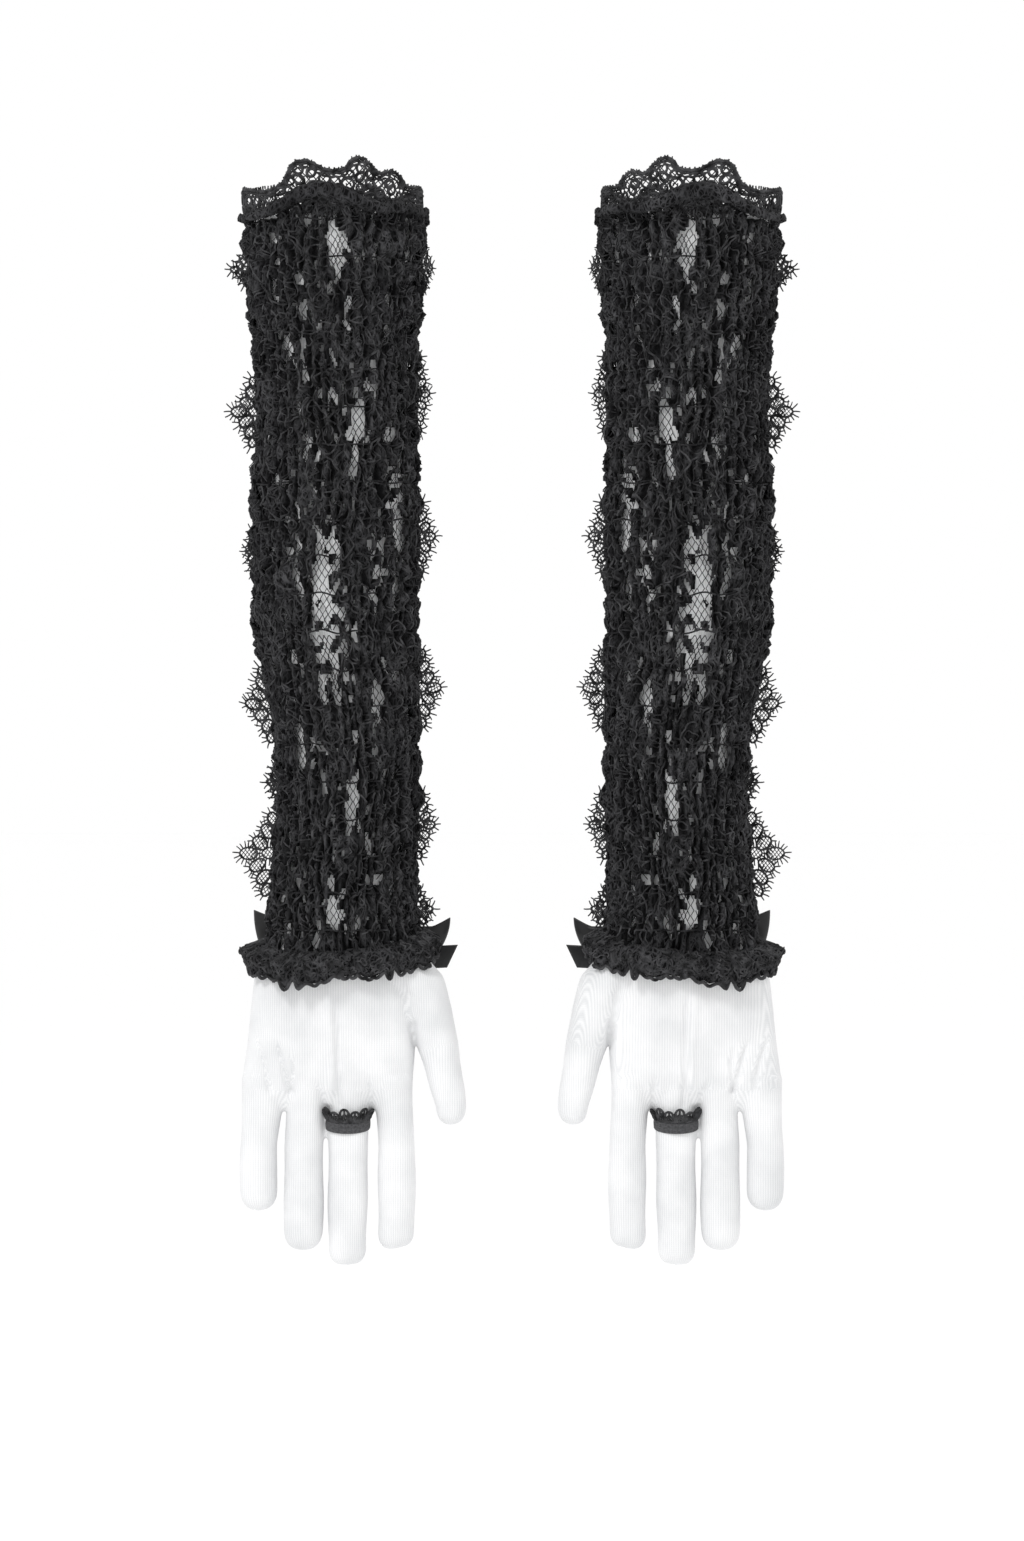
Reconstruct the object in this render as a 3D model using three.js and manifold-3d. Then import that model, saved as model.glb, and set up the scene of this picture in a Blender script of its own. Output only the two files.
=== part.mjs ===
// A pair of layered opera gloves: a white knit glove with a black shirred lace over-sleeve, a satin bow at
// the wrist and a lace-trimmed elastic ring on the middle finger. Millimetres, +Z up, fingers hanging down.
// The origin lies midway between the two arm openings. +Y is the back of the hand, -Y the palm.
// One glove is built in its own frame, where +x points to the thumb, and the other is its mirror image.
import * as THREE from "three";
import { mergeVertices } from "three/addons/utils/BufferGeometryUtils.js";
import Module from "manifold-3d";

const wasm = await Module();
wasm.setup();

// ---- Driving dimensions ----
const PAIR_SPACING = 174; // between the centres of the two arm openings
const GAP = 0.5; // clearance between pieces that lie against each other
const ROUND = 20; // sides of an oval round the arm or the hand
const FINGER_ROUND = 12; // sides of an oval round a finger
const LACE_WALL = 2; // the gathered lace is about this thick
const KNIT_WALL = 1.2; // the knit of the white glove

const SLEEVE_LENGTH = 343; // from the opening to the wrist's axis
const OPENING = { z: 0, shift: 0, a: 43, b: 31 }; // half width a and half depth b of the lace sleeve
const UPPER_ARM = { z: -62, shift: 1, a: 40, b: 29 };
const ELBOW = { z: -200, shift: 1, a: 40, b: 28 };
const WRIST = { z: -SLEEVE_LENGTH, shift: 3.5, a: 37.5, b: 24.6 };
const FOREARM = { z: WRIST.z + 58, shift: 6, a: 35.5, b: 25.5 };
const HEM = { z: WRIST.z - 20, shift: 3, a: 40, b: 24 };

const CUFF_RIM = 12; // how far above the wrist's axis the lace of the arm ends, clear of the bending hand
const KNIT_RIM = 13.5; // the same for the knit inside it
const KNIT_TOP = 8; // how far the knit of the arm starts below the opening
const DOME_TOP = 9; // the knit hand begins this far above the wrist's axis, on a rounded shoulder
const DOME_CAP = 1; // the dome's inside stands this much higher than its outside, which opens it

const WRIST_SLACK = { a: 1, b: 2.1 }; // how far the knit stays inside the lace at the wrist
const HEM_SLACK = { a: 1.5, b: 3 }; // the same at the hem
const PALM_HEEL = { z: WRIST.z - 37, shift: 0.5, a: 39.5, b: 17.5, square: 2.3 };
const PALM_MIDDLE = { z: WRIST.z - 61, shift: -0.8, a: 40, b: 15.5, square: 2.6 };
const FINGER_DEPTH = 0.9; // a finger's depth over its width
const TIP_TAPER = 0.93; // a fingertip's radius over the finger's

const BAND = { drop: 7.4, height: 6.6, wall: 1, ease: 0.1 }; // the elastic ring, below the knuckle plane
const BAND_LACE = { height: 5.2, wall: 0.7, waves: 5, dip: 1 };
const RING_FINGER = "middle"; // the finger that wears the elastic ring

// The fingers stand side by side from the little finger's outer edge, each a space from the one before.
const PALM_EDGE = -44.8;
const KNUCKLE_DROP = 94; // from the wrist's axis to the plane where the fingers begin
const KNUCKLE_MARGIN = 0.5;
const KNUCKLE_DEPTH = 11.5;
const FINGERS = [
  { name: "little", space: 0, radius: 9.2, length: 51.5 },
  { name: "ring_finger", space: 1.2, radius: 10.1, length: 70.5 },
  { name: "middle", space: BAND.wall + 2 * GAP, radius: 9.3, length: 78.5 },
  { name: "index", space: 4.6, radius: 9.0, length: 70.5 },
];
let edge = PALM_EDGE;
for (const finger of FINGERS) {
  finger.x = edge + finger.space + finger.radius;
  edge = finger.x + finger.radius;
}
const KNUCKLES = {
  z: WRIST.z - KNUCKLE_DROP,
  shift: (PALM_EDGE + edge) / 2,
  a: (edge - PALM_EDGE) / 2 + KNUCKLE_MARGIN,
  b: KNUCKLE_DEPTH,
  square: 3,
};

const THUMB = { space: 1.6, radius: 9.8, tipRadius: 7.7, length: 40, lean: 13.2 };
THUMB.x = PALM_MIDDLE.shift + PALM_MIDDLE.a + THUMB.space + THUMB.radius;
THUMB.z = WRIST.z - 66;
const THUMB_BASE = { x: 41, z: WRIST.z - 36, radius: 11.5 }; // where the thumb leaves the palm, inside it
const STEM = { depth: 0.95, overrun: 8, bore: 4 }; // the stem's cone runs on past its cut, as its bore does

const FRILL = { bottom: HEM.z - 12, a: 46, b: 29, waves: 10, ripple: 1.1, wall: 1.6, spread: 0.35 };
const TOP_FRILL = { top: 3, bottom: -10, flare: 3, hem: 1.8, waves: 10, ripple: 1, wall: 1.5, ease: 0.2 };
const TOP_LACE = { top: 18, flare: 2.5, waves: 10, dip: 4, wall: 0.8 };
const OVERLAY = { top: -14, bottom: WRIST.z + 21, reach: 12, lift: 3, wall: 0.8 };
const SCALLOPS = { first: -30, pitch: 70, dip: 8, steps: 4 }; // the points along the overlay's two edges
const ELASTIC = { first: -44, last: WRIST.z + 33, pitch: 36, size: 0.9, seam: 3 };

const BOW = { x: 8, y: 27, z: WRIST.z - 14, ribbon: 13, reach: 45, depth: 9, wall: 0.8, tilt: 8, gap: 1 };
const KNOT = { width: 9, depth: 11, height: 14 };
// A loop's outline: half its opening at the knot, then where and how far the ribbon swells and turns back.
const LOOP = { pinch: 0.6, rise: 0.4, full: 0.7, swell: 1.25, end: 0.8, bend: 2, bulge: 1 };
const TAIL = { reach: 48, width: 11, cut: 7, y: 31 };
const DROOP = { thumb_side: 0, little_side: 35 }; // degrees that each tail hangs below level

// ---- Materials ----
const blackLace = new THREE.MeshStandardMaterial({ color: 0x1c1c1e, roughness: 0.9 });
const blackElastic = new THREE.MeshStandardMaterial({ color: 0x2c2c2f, roughness: 0.7 });
const blackSatin = new THREE.MeshStandardMaterial({ color: 0x151517, roughness: 0.35 });
const whiteKnit = new THREE.MeshStandardMaterial({ color: 0xf4f5f5, roughness: 0.95 });

// ---- Helpers ----
const radians = THREE.MathUtils.degToRad;
const lerp = THREE.MathUtils.lerp;

// A sleeve section at height z, read between the named stations on a smooth step.
const SLEEVE = [OPENING, UPPER_ARM, ELBOW, FOREARM, WRIST, HEM];
function sleeveAt(z) {
  const last = SLEEVE.length - 2;
  let i = SLEEVE.findIndex((s, k) => k <= last && z >= SLEEVE[k + 1].z);
  i = i < 0 ? last : i;
  const [above, below] = [SLEEVE[i], SLEEVE[i + 1]];
  const t = THREE.MathUtils.clamp((above.z - z) / (above.z - below.z), 0, 1);
  const s = t * t * (3 - 2 * t);
  const mix = (key) => lerp(above[key], below[key], s);
  return { z, shift: mix("shift"), a: mix("a"), b: mix("b") };
}

const grown = (s, by, z = s.z) => ({ ...s, z, a: s.a + by, b: s.b + by });
const evenly = (from, to, count) => [...Array(count)].map((_, i) => lerp(from, to, i / (count - 1)));

// The knit and the lace round the forearm share these heights, so that their walls stay parallel.
const SLEEVE_TOP = OPENING.z - 1;
const FOREARM_HEIGHTS = evenly(OPENING.z - KNIT_TOP, WRIST.z + KNIT_RIM, 8);
const ARM_RINGS = [SLEEVE_TOP, ...FOREARM_HEIGHTS, WRIST.z + CUFF_RIM].map(sleeveAt);

// The faceted outside of the arm's lace at height z.
function armAt(z) {
  const i = Math.max(ARM_RINGS.findIndex((ring) => ring.z <= z), 1);
  const [above, below] = [ARM_RINGS[i - 1], ARM_RINGS[i]];
  const t = (above.z - z) / (above.z - below.z);
  const mix = (key) => lerp(above[key], below[key], t);
  return { z, shift: mix("shift"), a: mix("a"), b: mix("b") };
}

// A body of oval rings in order along a profile: each ring has z, shift, a, b, and may ripple.
// A ring with a = 0 closes the body at a point. Otherwise the profile closes on itself.
function ovalBody(rings, segments) {
  const closed = rings[0].a > 0;
  const profile = rings.map((r) => new THREE.Vector2(r.a > 0 ? 1 : 0, r.z));
  if (closed) profile.push(profile[0].clone());
  const geometry = new THREE.LatheGeometry(profile, segments);
  const position = geometry.getAttribute("position");
  for (let i = 0; i <= segments; i++) {
    const turn = ((i % segments) / segments) * 2 * Math.PI;
    profile.forEach((_, j) => {
      const r = rings[j % rings.length];
      const squareness = 2 / (r.square ?? 2);
      const soft = (v) => Math.sign(v) * Math.abs(v) ** squareness;
      const wave = r.waves ? Math.cos(r.waves * turn) : 0;
      const out = (r.ripple ?? 0) * wave;
      const x = r.a > 0 ? (r.a + out) * soft(Math.cos(turn)) : 0;
      const y = r.a > 0 ? (r.b + out) * soft(Math.sin(turn)) : 0;
      position.setXYZ(i * profile.length + j, (r.shift ?? 0) + x, y, r.z + (r.dip ?? 0) * wave);
    });
  }
  geometry.deleteAttribute("normal");
  geometry.deleteAttribute("uv");
  return geometry;
}

// A tube with a wall: the outer rings run from the bottom up and the inner rings come back down.
function ovalTube(outerFromTop, wall, segments) {
  const outer = [...outerFromTop].reverse();
  return ovalBody([...outer, ...outerFromTop.map((s) => grown(s, -wall))], segments);
}

function toSolid(geometry) {
  const bare = geometry.clone();
  bare.deleteAttribute("normal");
  bare.deleteAttribute("uv");
  const merged = mergeVertices(bare, 1e-4);
  const triVerts = new Uint32Array(merged.index.array);
  const vertProperties = new Float32Array(merged.attributes.position.array);
  return new wasm.Manifold(new wasm.Mesh({ numProp: 3, vertProperties, triVerts }));
}

function toGeometry(solid) {
  const mesh = solid.getMesh();
  const geometry = new THREE.BufferGeometry();
  geometry.setAttribute("position", new THREE.BufferAttribute(new Float32Array(mesh.vertProperties), 3));
  geometry.setIndex(new THREE.BufferAttribute(new Uint32Array(mesh.triVerts), 1));
  return geometry;
}

// ---- The white knit glove ----
function knitForearm() {
  const rings = FOREARM_HEIGHTS.map((z) => grown(sleeveAt(z), -LACE_WALL - GAP));
  return ovalTube(rings, KNIT_WALL, ROUND);
}

// The hand's upper end is part of an ellipsoid about the wrist's axis, so that it turns in place.
function palmBody(inset) {
  const inside = (s, slack) => ({ ...s, a: s.a - LACE_WALL - slack.a, b: s.b - LACE_WALL - slack.b });
  const wrist = inside(WRIST, WRIST_SLACK);
  const dome = evenly(DOME_TOP, 0, 3).map((up) => {
    const share = Math.sqrt(1 - (up / wrist.b) ** 2);
    return { z: WRIST.z + up, shift: WRIST.shift, a: wrist.a * share, b: wrist.b * share };
  });
  const rings = [...dome, inside(HEM, HEM_SLACK), PALM_HEEL, PALM_MIDDLE, KNUCKLES];
  const sized = rings.map((r) => grown(r, -inset));
  if (inset) {
    sized[0].z += DOME_CAP;
    sized.at(-1).z += inset;
  }
  const top = { z: sized[0].z, shift: WRIST.shift, a: 0, b: 0 };
  const bottom = { z: sized.at(-1).z, shift: KNUCKLES.shift, a: 0, b: 0 };
  return toSolid(ovalBody([bottom, ...sized.reverse(), top], ROUND));
}

// The stem between the palm and the thumb, cut square to the thumb.
function thumbStem(inset, past) {
  const from = new THREE.Vector3(THUMB_BASE.x, 0, THUMB_BASE.z);
  const to = new THREE.Vector3(THUMB.x, 0, THUMB.z);
  const along = to.clone().sub(from);
  const end = to.clone().addScaledVector(along.clone().normalize(), STEM.overrun);
  const [wide, narrow] = [THUMB_BASE.radius - inset, THUMB.radius - inset];
  const cone = new THREE.CylinderGeometry(wide, narrow, end.distanceTo(from), FINGER_ROUND);
  cone.scale(1, 1, STEM.depth);
  cone.rotateX(Math.PI / 2);
  cone.rotateY(-Math.atan2(along.x, -along.z));
  cone.translate((from.x + end.x) / 2, 0, (from.z + end.z) / 2);
  const size = 4 * THUMB.radius;
  const cut = new THREE.BoxGeometry(size, size, size).translate(0, 0, (GAP - size) / 2 - past);
  cut.rotateY(-radians(THUMB.lean)).translate(THUMB.x, 0, THUMB.z);
  return toSolid(cone).subtract(toSolid(cut));
}

function knitHand() {
  let hand = palmBody(0).add(thumbStem(0, 0));
  hand = hand.subtract(palmBody(KNIT_WALL)).subtract(thumbStem(KNIT_WALL, STEM.bore));
  for (const finger of FINGERS) {
    const bore = finger.radius - KNIT_WALL;
    const hole = new THREE.CylinderGeometry(bore, bore, KNUCKLE_DEPTH, FINGER_ROUND);
    hole.scale(1, 1, FINGER_DEPTH).rotateX(Math.PI / 2).translate(finger.x, 0, KNUCKLES.z);
    hand = hand.subtract(toSolid(hole));
  }
  return toGeometry(hand);
}

// A finger hangs from its own origin, open at the top and round at the tip.
function stall(radius, tipRadius, length) {
  const inside = (r) => Math.max(r - KNIT_WALL, 0);
  const shaft = length - tipRadius;
  const outer = [[0, -length]];
  const inner = [[0, -length + KNIT_WALL]];
  for (const turn of [30, 60, 90]) {
    const [s, c] = [Math.sin(radians(turn)), Math.cos(radians(turn))];
    outer.push([tipRadius * s, -shaft - tipRadius * c]);
    inner.push([inside(tipRadius) * s, -shaft - inside(tipRadius) * c]);
  }
  outer.push([radius, 0]);
  inner.push([inside(radius), 0]);
  const points = [...outer, ...inner.reverse()].map(([r, z]) => new THREE.Vector2(r, z));
  return new THREE.LatheGeometry(points, FINGER_ROUND).rotateX(Math.PI / 2).scale(1, FINGER_DEPTH, 1);
}

// ---- The black lace sleeve ----
function sleeveArm() {
  return ovalTube(ARM_RINGS, LACE_WALL, ROUND);
}

function sleeveWrist() {
  return ovalTube([WRIST, sleeveAt((WRIST.z + HEM.z) / 2), HEM], LACE_WALL, ROUND);
}

function wristFrill() {
  const { bottom, a, b, waves, ripple, wall, spread } = FRILL;
  const half = { a: lerp(HEM.a, a, spread), b: lerp(HEM.b, b, spread) };
  const middle = { ...HEM, ...half, z: lerp(HEM.z, bottom, 0.5) };
  const rings = [
    { ...HEM, z: HEM.z - GAP },
    { ...middle, waves, ripple: ripple / 2 },
    { z: bottom, shift: HEM.shift, a, b, waves, ripple },
  ];
  return ovalTube(rings, wall, 3 * waves);
}

// The frill at the arm opening is turned down over the top of the sleeve.
function topFrill() {
  const { top, bottom, flare, hem, waves, ripple, wall, ease } = TOP_FRILL;
  const inner = wall + GAP + ease;
  const rings = [
    grown(sleeveAt(0), inner, top),
    { ...grown(sleeveAt(0), inner + flare, lerp(top, bottom, 0.5)), waves, ripple: ripple / 2 },
    { ...grown(sleeveAt(0), inner + hem, bottom), waves, ripple },
  ];
  return ovalTube(rings, wall, 3 * waves);
}

// The scalloped lace edge that stands up inside the turned frill.
function topLace() {
  const { top, flare, waves, dip, wall } = TOP_LACE;
  const base = grown(sleeveAt(0), -GAP);
  const rings = [
    { ...grown(base, flare), z: top - dip, waves, dip },
    { ...base, z: TOP_FRILL.top + 1 },
    { ...base, z: SLEEVE_TOP + GAP },
  ];
  return ovalTube(rings, wall, 3 * waves);
}

// The scalloped lace panel along the back of the arm, whose points show past both edges of the sleeve.
function backOverlay() {
  const { top, bottom, reach, lift, wall } = OVERLAY;
  const { first, pitch, dip, steps } = SCALLOPS;
  const along = Math.ceil(((top - bottom) / pitch) * steps);
  const sheet = new THREE.BoxGeometry(2, 1, 1, ROUND / 2, 1, along);
  const position = sheet.getAttribute("position");
  for (let i = 0; i < position.count; i++) {
    const [u, side, w] = [position.getX(i), position.getY(i), position.getZ(i) + 0.5];
    const z = lerp(bottom, top, w);
    const s = armAt(z);
    const scallop = Math.abs(Math.cos((Math.PI * (z - first)) / pitch));
    const wide = s.a + reach - dip * (1 - scallop);
    const turn = (u * Math.PI) / 2;
    const back = (s.b + lift) * Math.cos(turn) + lift * (1 - Math.cos(turn));
    position.setXYZ(i, s.shift + wide * Math.sin(turn), back + side * wall, z);
  }
  return sheet;
}

// Rows of elastic round the sleeve, caught in one seam on the little-finger side.
function shirring() {
  const { first, pitch, size, seam } = ELASTIC;
  const rows = 1 + Math.floor((first - ELASTIC.last) / pitch);
  const last = first - (rows - 1) * pitch;
  const laid = (z) => grown(armAt(z), 1.5 * GAP);
  const strip = new THREE.BoxGeometry(size, seam, 1, 1, 1, 2 * rows);
  const position = strip.getAttribute("position");
  for (let i = 0; i < position.count; i++) {
    const z = lerp(last - 2 * size, first + 2 * size, position.getZ(i) + 0.5);
    const s = laid(z);
    position.setXYZ(i, s.shift - s.a - size / 2 + position.getX(i), position.getY(i), z);
  }
  let all = toSolid(strip);
  for (let row = 0; row < rows; row++) {
    const z = first - row * pitch;
    const rings = [grown(laid(z), 1.5 * size), laid(z + size), laid(z - size)];
    all = all.add(toSolid(ovalBody(rings, ROUND)));
  }
  return toGeometry(all);
}

// ---- The finger ring ----
function ringBand(radius) {
  const bore = radius + GAP + BAND.wall;
  const at = (z) => ({ z, a: bore, b: bore * FINGER_DEPTH + BAND.ease });
  return ovalTube([at(0), at(-BAND.height)], BAND.wall, 15);
}

function ringLace(radius) {
  const bore = radius + GAP + BAND_LACE.wall;
  const { height, dip, waves, wall } = BAND_LACE;
  const at = (z, more = {}) => ({ z, a: bore, b: bore * FINGER_DEPTH + BAND.ease, ...more });
  return ovalTube([at(height - dip, { waves, dip }), at(0)], wall, 3 * waves);
}

// ---- The bow ----
// One loop of ribbon seen from above, from the knot outwards along +x, as deep as the bow.
function bowLoop() {
  const { ribbon, reach, depth, wall } = BOW;
  const outline = (inset) => {
    const [near, far] = [inset * 2, reach - inset];
    const half = depth / 2 - inset;
    const shape = new THREE.Path();
    const [pinch, swell, end] = [LOOP.pinch - inset / 3, half * LOOP.swell, half * LOOP.end];
    const [rise, full, bend] = [reach * LOOP.rise, reach * LOOP.full, far - LOOP.bend];
    shape.moveTo(near, -pinch);
    shape.bezierCurveTo(rise, -half, full, -swell, bend, -end);
    shape.quadraticCurveTo(far + LOOP.bulge, 0, bend, end);
    shape.bezierCurveTo(full, swell, rise, half, near, pinch);
    return shape;
  };
  const loop = new THREE.Shape(outline(0).getPoints(5));
  loop.holes.push(new THREE.Path(outline(wall).getPoints(5).reverse()));
  const band = new THREE.ExtrudeGeometry(loop, { depth: ribbon, bevelEnabled: false });
  return band.translate(0, 0, -ribbon / 2);
}

function bowTail() {
  const { reach, width, cut } = TAIL;
  const outline = [[0, 0], [reach, 0], [reach - cut, -width], [0, -width / 3]];
  const shape = new THREE.Shape(outline.map(([x, z]) => new THREE.Vector2(x, z)));
  const flat = new THREE.ExtrudeGeometry(shape, { depth: BOW.wall, bevelEnabled: false });
  return flat.rotateX(Math.PI / 2);
}

function knot() {
  const ball = new THREE.SphereGeometry(0.5, 10, 8);
  return ball.scale(KNOT.width, KNOT.depth, KNOT.height);
}

// ---- One glove ----
function glove(side) {
  const group = new THREE.Group();
  const piece = (name, geometry, material, parent = group) => {
    const mesh = new THREE.Mesh(geometry, material);
    mesh.name = `${side}_${name}`;
    parent.add(mesh);
    return mesh;
  };

  piece("knit_forearm", knitForearm(), whiteKnit);
  piece("knit_hand", knitHand(), whiteKnit);
  for (const { name, x, radius, length } of FINGERS) {
    const finger = piece(`knit_${name}`, stall(radius, radius * TIP_TAPER, length), whiteKnit);
    finger.position.set(x, 0, KNUCKLES.z - GAP);
  }
  const thumb = piece("knit_thumb", stall(THUMB.radius, THUMB.tipRadius, THUMB.length), whiteKnit);
  thumb.position.set(THUMB.x, 0, THUMB.z);
  thumb.rotation.y = -radians(THUMB.lean);
  thumb.translateZ(-GAP / 2);

  piece("lace_sleeve_arm", sleeveArm(), blackLace);
  piece("lace_sleeve_wrist", sleeveWrist(), blackLace);
  piece("wrist_frill", wristFrill(), blackLace);
  piece("top_frill", topFrill(), blackLace);
  piece("top_lace_edging", topLace(), blackLace);
  piece("back_lace_overlay", backOverlay(), blackLace);
  piece("shirring_elastics", shirring(), blackElastic);

  const worn = FINGERS.find((finger) => finger.name === RING_FINGER);
  const band = piece("ring_elastic_band", ringBand(worn.radius), blackElastic);
  band.position.set(worn.x, 0, KNUCKLES.z - BAND.drop);
  const trim = piece("ring_lace_edge", ringLace(worn.radius), blackLace);
  trim.position.set(worn.x, 0, KNUCKLES.z - BAND.drop + GAP);

  const bow = new THREE.Group();
  bow.position.set(BOW.x, BOW.y + BOW.depth / 2, BOW.z);
  group.add(bow);
  piece("bow_knot", knot(), blackSatin, bow);
  for (const [name, way] of [["thumb_side", 1], ["little_side", -1]]) {
    const half = new THREE.Group();
    half.scale.x = way;
    bow.add(half);
    const loop = piece(`bow_loop_${name}`, bowLoop(), blackSatin, half);
    loop.position.x = KNOT.width / 2 + BOW.gap;
    loop.rotation.y = -radians(BOW.tilt);
    const tail = piece(`bow_tail_${name}`, bowTail(), blackSatin, half);
    tail.position.set(KNOT.width / 2 + BOW.gap, TAIL.y - bow.position.y, -BOW.ribbon / 2 - BOW.gap);
    tail.rotation.y = radians(DROOP[name]);
  }
  return group;
}

const pair = new THREE.Group();
const left = glove("left");
left.position.x = -PAIR_SPACING / 2;
const right = glove("right");
right.position.x = PAIR_SPACING / 2;
right.scale.x = -1;
pair.add(left, right);
export default pair;
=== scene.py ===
# %% [markdown]
# # A pair of shirred lace opera gloves
# Each glove is a white knit glove under a black lace sleeve. The sleeve is shirred: rows of thin elastic
# pull the lace into hundreds of small upright folds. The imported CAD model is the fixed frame. Every piece
# below stands for a plain CAD solid of the same place and size.

# %% Load the frame
import math

import bpy
import numpy as np
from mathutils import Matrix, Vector


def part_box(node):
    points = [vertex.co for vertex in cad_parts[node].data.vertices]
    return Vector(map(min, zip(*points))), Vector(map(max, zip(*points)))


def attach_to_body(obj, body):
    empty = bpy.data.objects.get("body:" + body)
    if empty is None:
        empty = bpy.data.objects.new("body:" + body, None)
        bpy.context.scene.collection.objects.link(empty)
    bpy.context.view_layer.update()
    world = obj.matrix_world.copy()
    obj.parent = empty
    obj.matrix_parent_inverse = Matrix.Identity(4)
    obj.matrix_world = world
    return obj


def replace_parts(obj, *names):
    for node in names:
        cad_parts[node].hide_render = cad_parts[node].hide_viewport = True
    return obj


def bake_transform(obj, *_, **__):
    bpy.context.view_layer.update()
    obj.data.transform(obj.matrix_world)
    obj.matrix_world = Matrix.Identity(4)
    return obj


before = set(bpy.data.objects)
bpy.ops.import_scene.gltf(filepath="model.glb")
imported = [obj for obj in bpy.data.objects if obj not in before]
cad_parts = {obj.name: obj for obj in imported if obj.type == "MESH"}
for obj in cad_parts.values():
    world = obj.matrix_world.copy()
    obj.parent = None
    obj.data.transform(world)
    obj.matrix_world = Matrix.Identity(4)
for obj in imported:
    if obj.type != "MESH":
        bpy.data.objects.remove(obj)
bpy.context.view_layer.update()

MM = 0.001
TAU = 2 * math.pi

# %% [markdown]
# ## The camera
# A long lens from straight in front shows the palms with almost no perspective, as a product picture does.
# The camera looks along +Y, level with the forearms.

# %% Camera
FOCAL_LENGTH = 100  # mm
SENSOR = 36  # mm along the frame's long side
FRAME_HEIGHT = 0.750  # metres of the gloves' plane that the frame takes in
EYE_LEVEL = -0.275

camera_data = bpy.data.cameras.new("camera")
camera_data.lens = FOCAL_LENGTH
camera_data.sensor_width = SENSOR
camera_data.clip_end = 50
camera = bpy.data.objects.new("camera", camera_data)
bpy.context.collection.objects.link(camera)
camera.location = (0, -FRAME_HEIGHT * FOCAL_LENGTH / SENSOR, EYE_LEVEL)
camera.rotation_euler = (math.pi / 2, 0, 0)
bpy.context.scene.camera = camera
bpy.context.scene.view_settings.view_transform = "Standard"
print("camera stands", round(-camera.location.y, 2), "m in front of the gloves")

# %% [markdown]
# ## Light and floor
# White fabric on a white ground only reads if the light is even and one side is a little darker. The world
# gives the even part, and two large soft lamps give the folds of the black lace an edge.

# %% World, lamps and floor
FLOOR_LEVEL = -0.9
FLOOR_HALF = 40
FLOOR_WHITE = (1.0, 1.0, 1.0, 1)
FLOOR_ROUGHNESS = 0.9
WORLD_STRENGTH = 1.0
LAMP_AIM = (0, 0, -0.25)
KEY_LAMP, KEY_SIZE, KEY_WATTS = (-0.9, -1.7, 1.3), 0.6, 22
RIM_LAMP, RIM_SIZE, RIM_WATTS = (1.6, 1.5, 0.9), 0.9, 8

world = bpy.data.worlds.new("studio")
world.use_nodes = True
world.node_tree.nodes["Background"].inputs["Color"].default_value = (1, 1, 1, 1)
world.node_tree.nodes["Background"].inputs["Strength"].default_value = WORLD_STRENGTH
bpy.context.scene.world = world


def soft_lamp(name, place, aim, size, watts):
    """A square area lamp that looks at a point."""
    data = bpy.data.lights.new(name, "AREA")
    data.size = size
    data.energy = watts
    lamp = bpy.data.objects.new(name, data)
    bpy.context.collection.objects.link(lamp)
    lamp.location = place
    direction = Vector((np.array(aim) - np.array(place)).tolist())
    lamp.rotation_euler = direction.to_track_quat("-Z", "Y").to_euler()


soft_lamp("key", KEY_LAMP, LAMP_AIM, KEY_SIZE, KEY_WATTS)
soft_lamp("rim", RIM_LAMP, LAMP_AIM, RIM_SIZE, RIM_WATTS)

floor_mesh = bpy.data.meshes.new("floor")
floor_mesh.from_pydata(
    [(x * FLOOR_HALF, y * FLOOR_HALF, FLOOR_LEVEL) for x, y in ((-1, -1), (1, -1), (1, 1), (-1, 1))],
    [], [(0, 1, 2, 3)])
floor = bpy.data.objects.new("floor", floor_mesh)
bpy.context.collection.objects.link(floor)
floor_paint = bpy.data.materials.new("floor_paint")
floor_paint.use_nodes = True
floor_shader = floor_paint.node_tree.nodes["Principled BSDF"]
floor_shader.inputs["Base Color"].default_value = FLOOR_WHITE
floor_shader.inputs["Roughness"].default_value = FLOOR_ROUGHNESS
floor_mesh.materials.append(floor_paint)
print("floor lies", round(-FLOOR_LEVEL, 2), "m below the arm openings")

# %% [markdown]
# ## Materials
# Every finish is made of nodes. Threads get a twisted-yarn bump, the knit gets its rows of small V-shaped
# stitches from a map that follows the surface, and the satin gets fine cross ribs under a soft gloss.
# A number that is the same all over sits on the shader's own socket.


# %% Node helpers
SHEEN_ROUGHNESS = 0.5
MOTTLE_LOW, MOTTLE_HIGH = 0.35, 0.65  # where the noise takes the darker and the lighter tone


def new_material(name, roughness, sheen, specular):
    """A Principled material, its node tree and its shader."""
    material = bpy.data.materials.new(name)
    material.use_nodes = True
    tree = material.node_tree
    shader = tree.nodes["Principled BSDF"]
    shader.inputs["Roughness"].default_value = roughness
    shader.inputs["Sheen Weight"].default_value = sheen
    shader.inputs["Sheen Roughness"].default_value = SHEEN_ROUGHNESS
    shader.inputs["Specular IOR Level"].default_value = specular
    return material, tree, shader


def node(tree, kind, inputs=None, **settings):
    """One node with its settings and its unlinked or linked inputs."""
    made = tree.nodes.new(kind)
    for key, value in settings.items():
        setattr(made, key, value)
    for key, value in (inputs or {}).items():
        if isinstance(value, bpy.types.NodeSocket):
            tree.links.new(value, made.inputs[key])
        else:
            made.inputs[key].default_value = value
    return made


def math_node(tree, operation, first, second=0.0):
    return node(tree, "ShaderNodeMath", {0: first, 1: second}, operation=operation).outputs[0]


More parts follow.
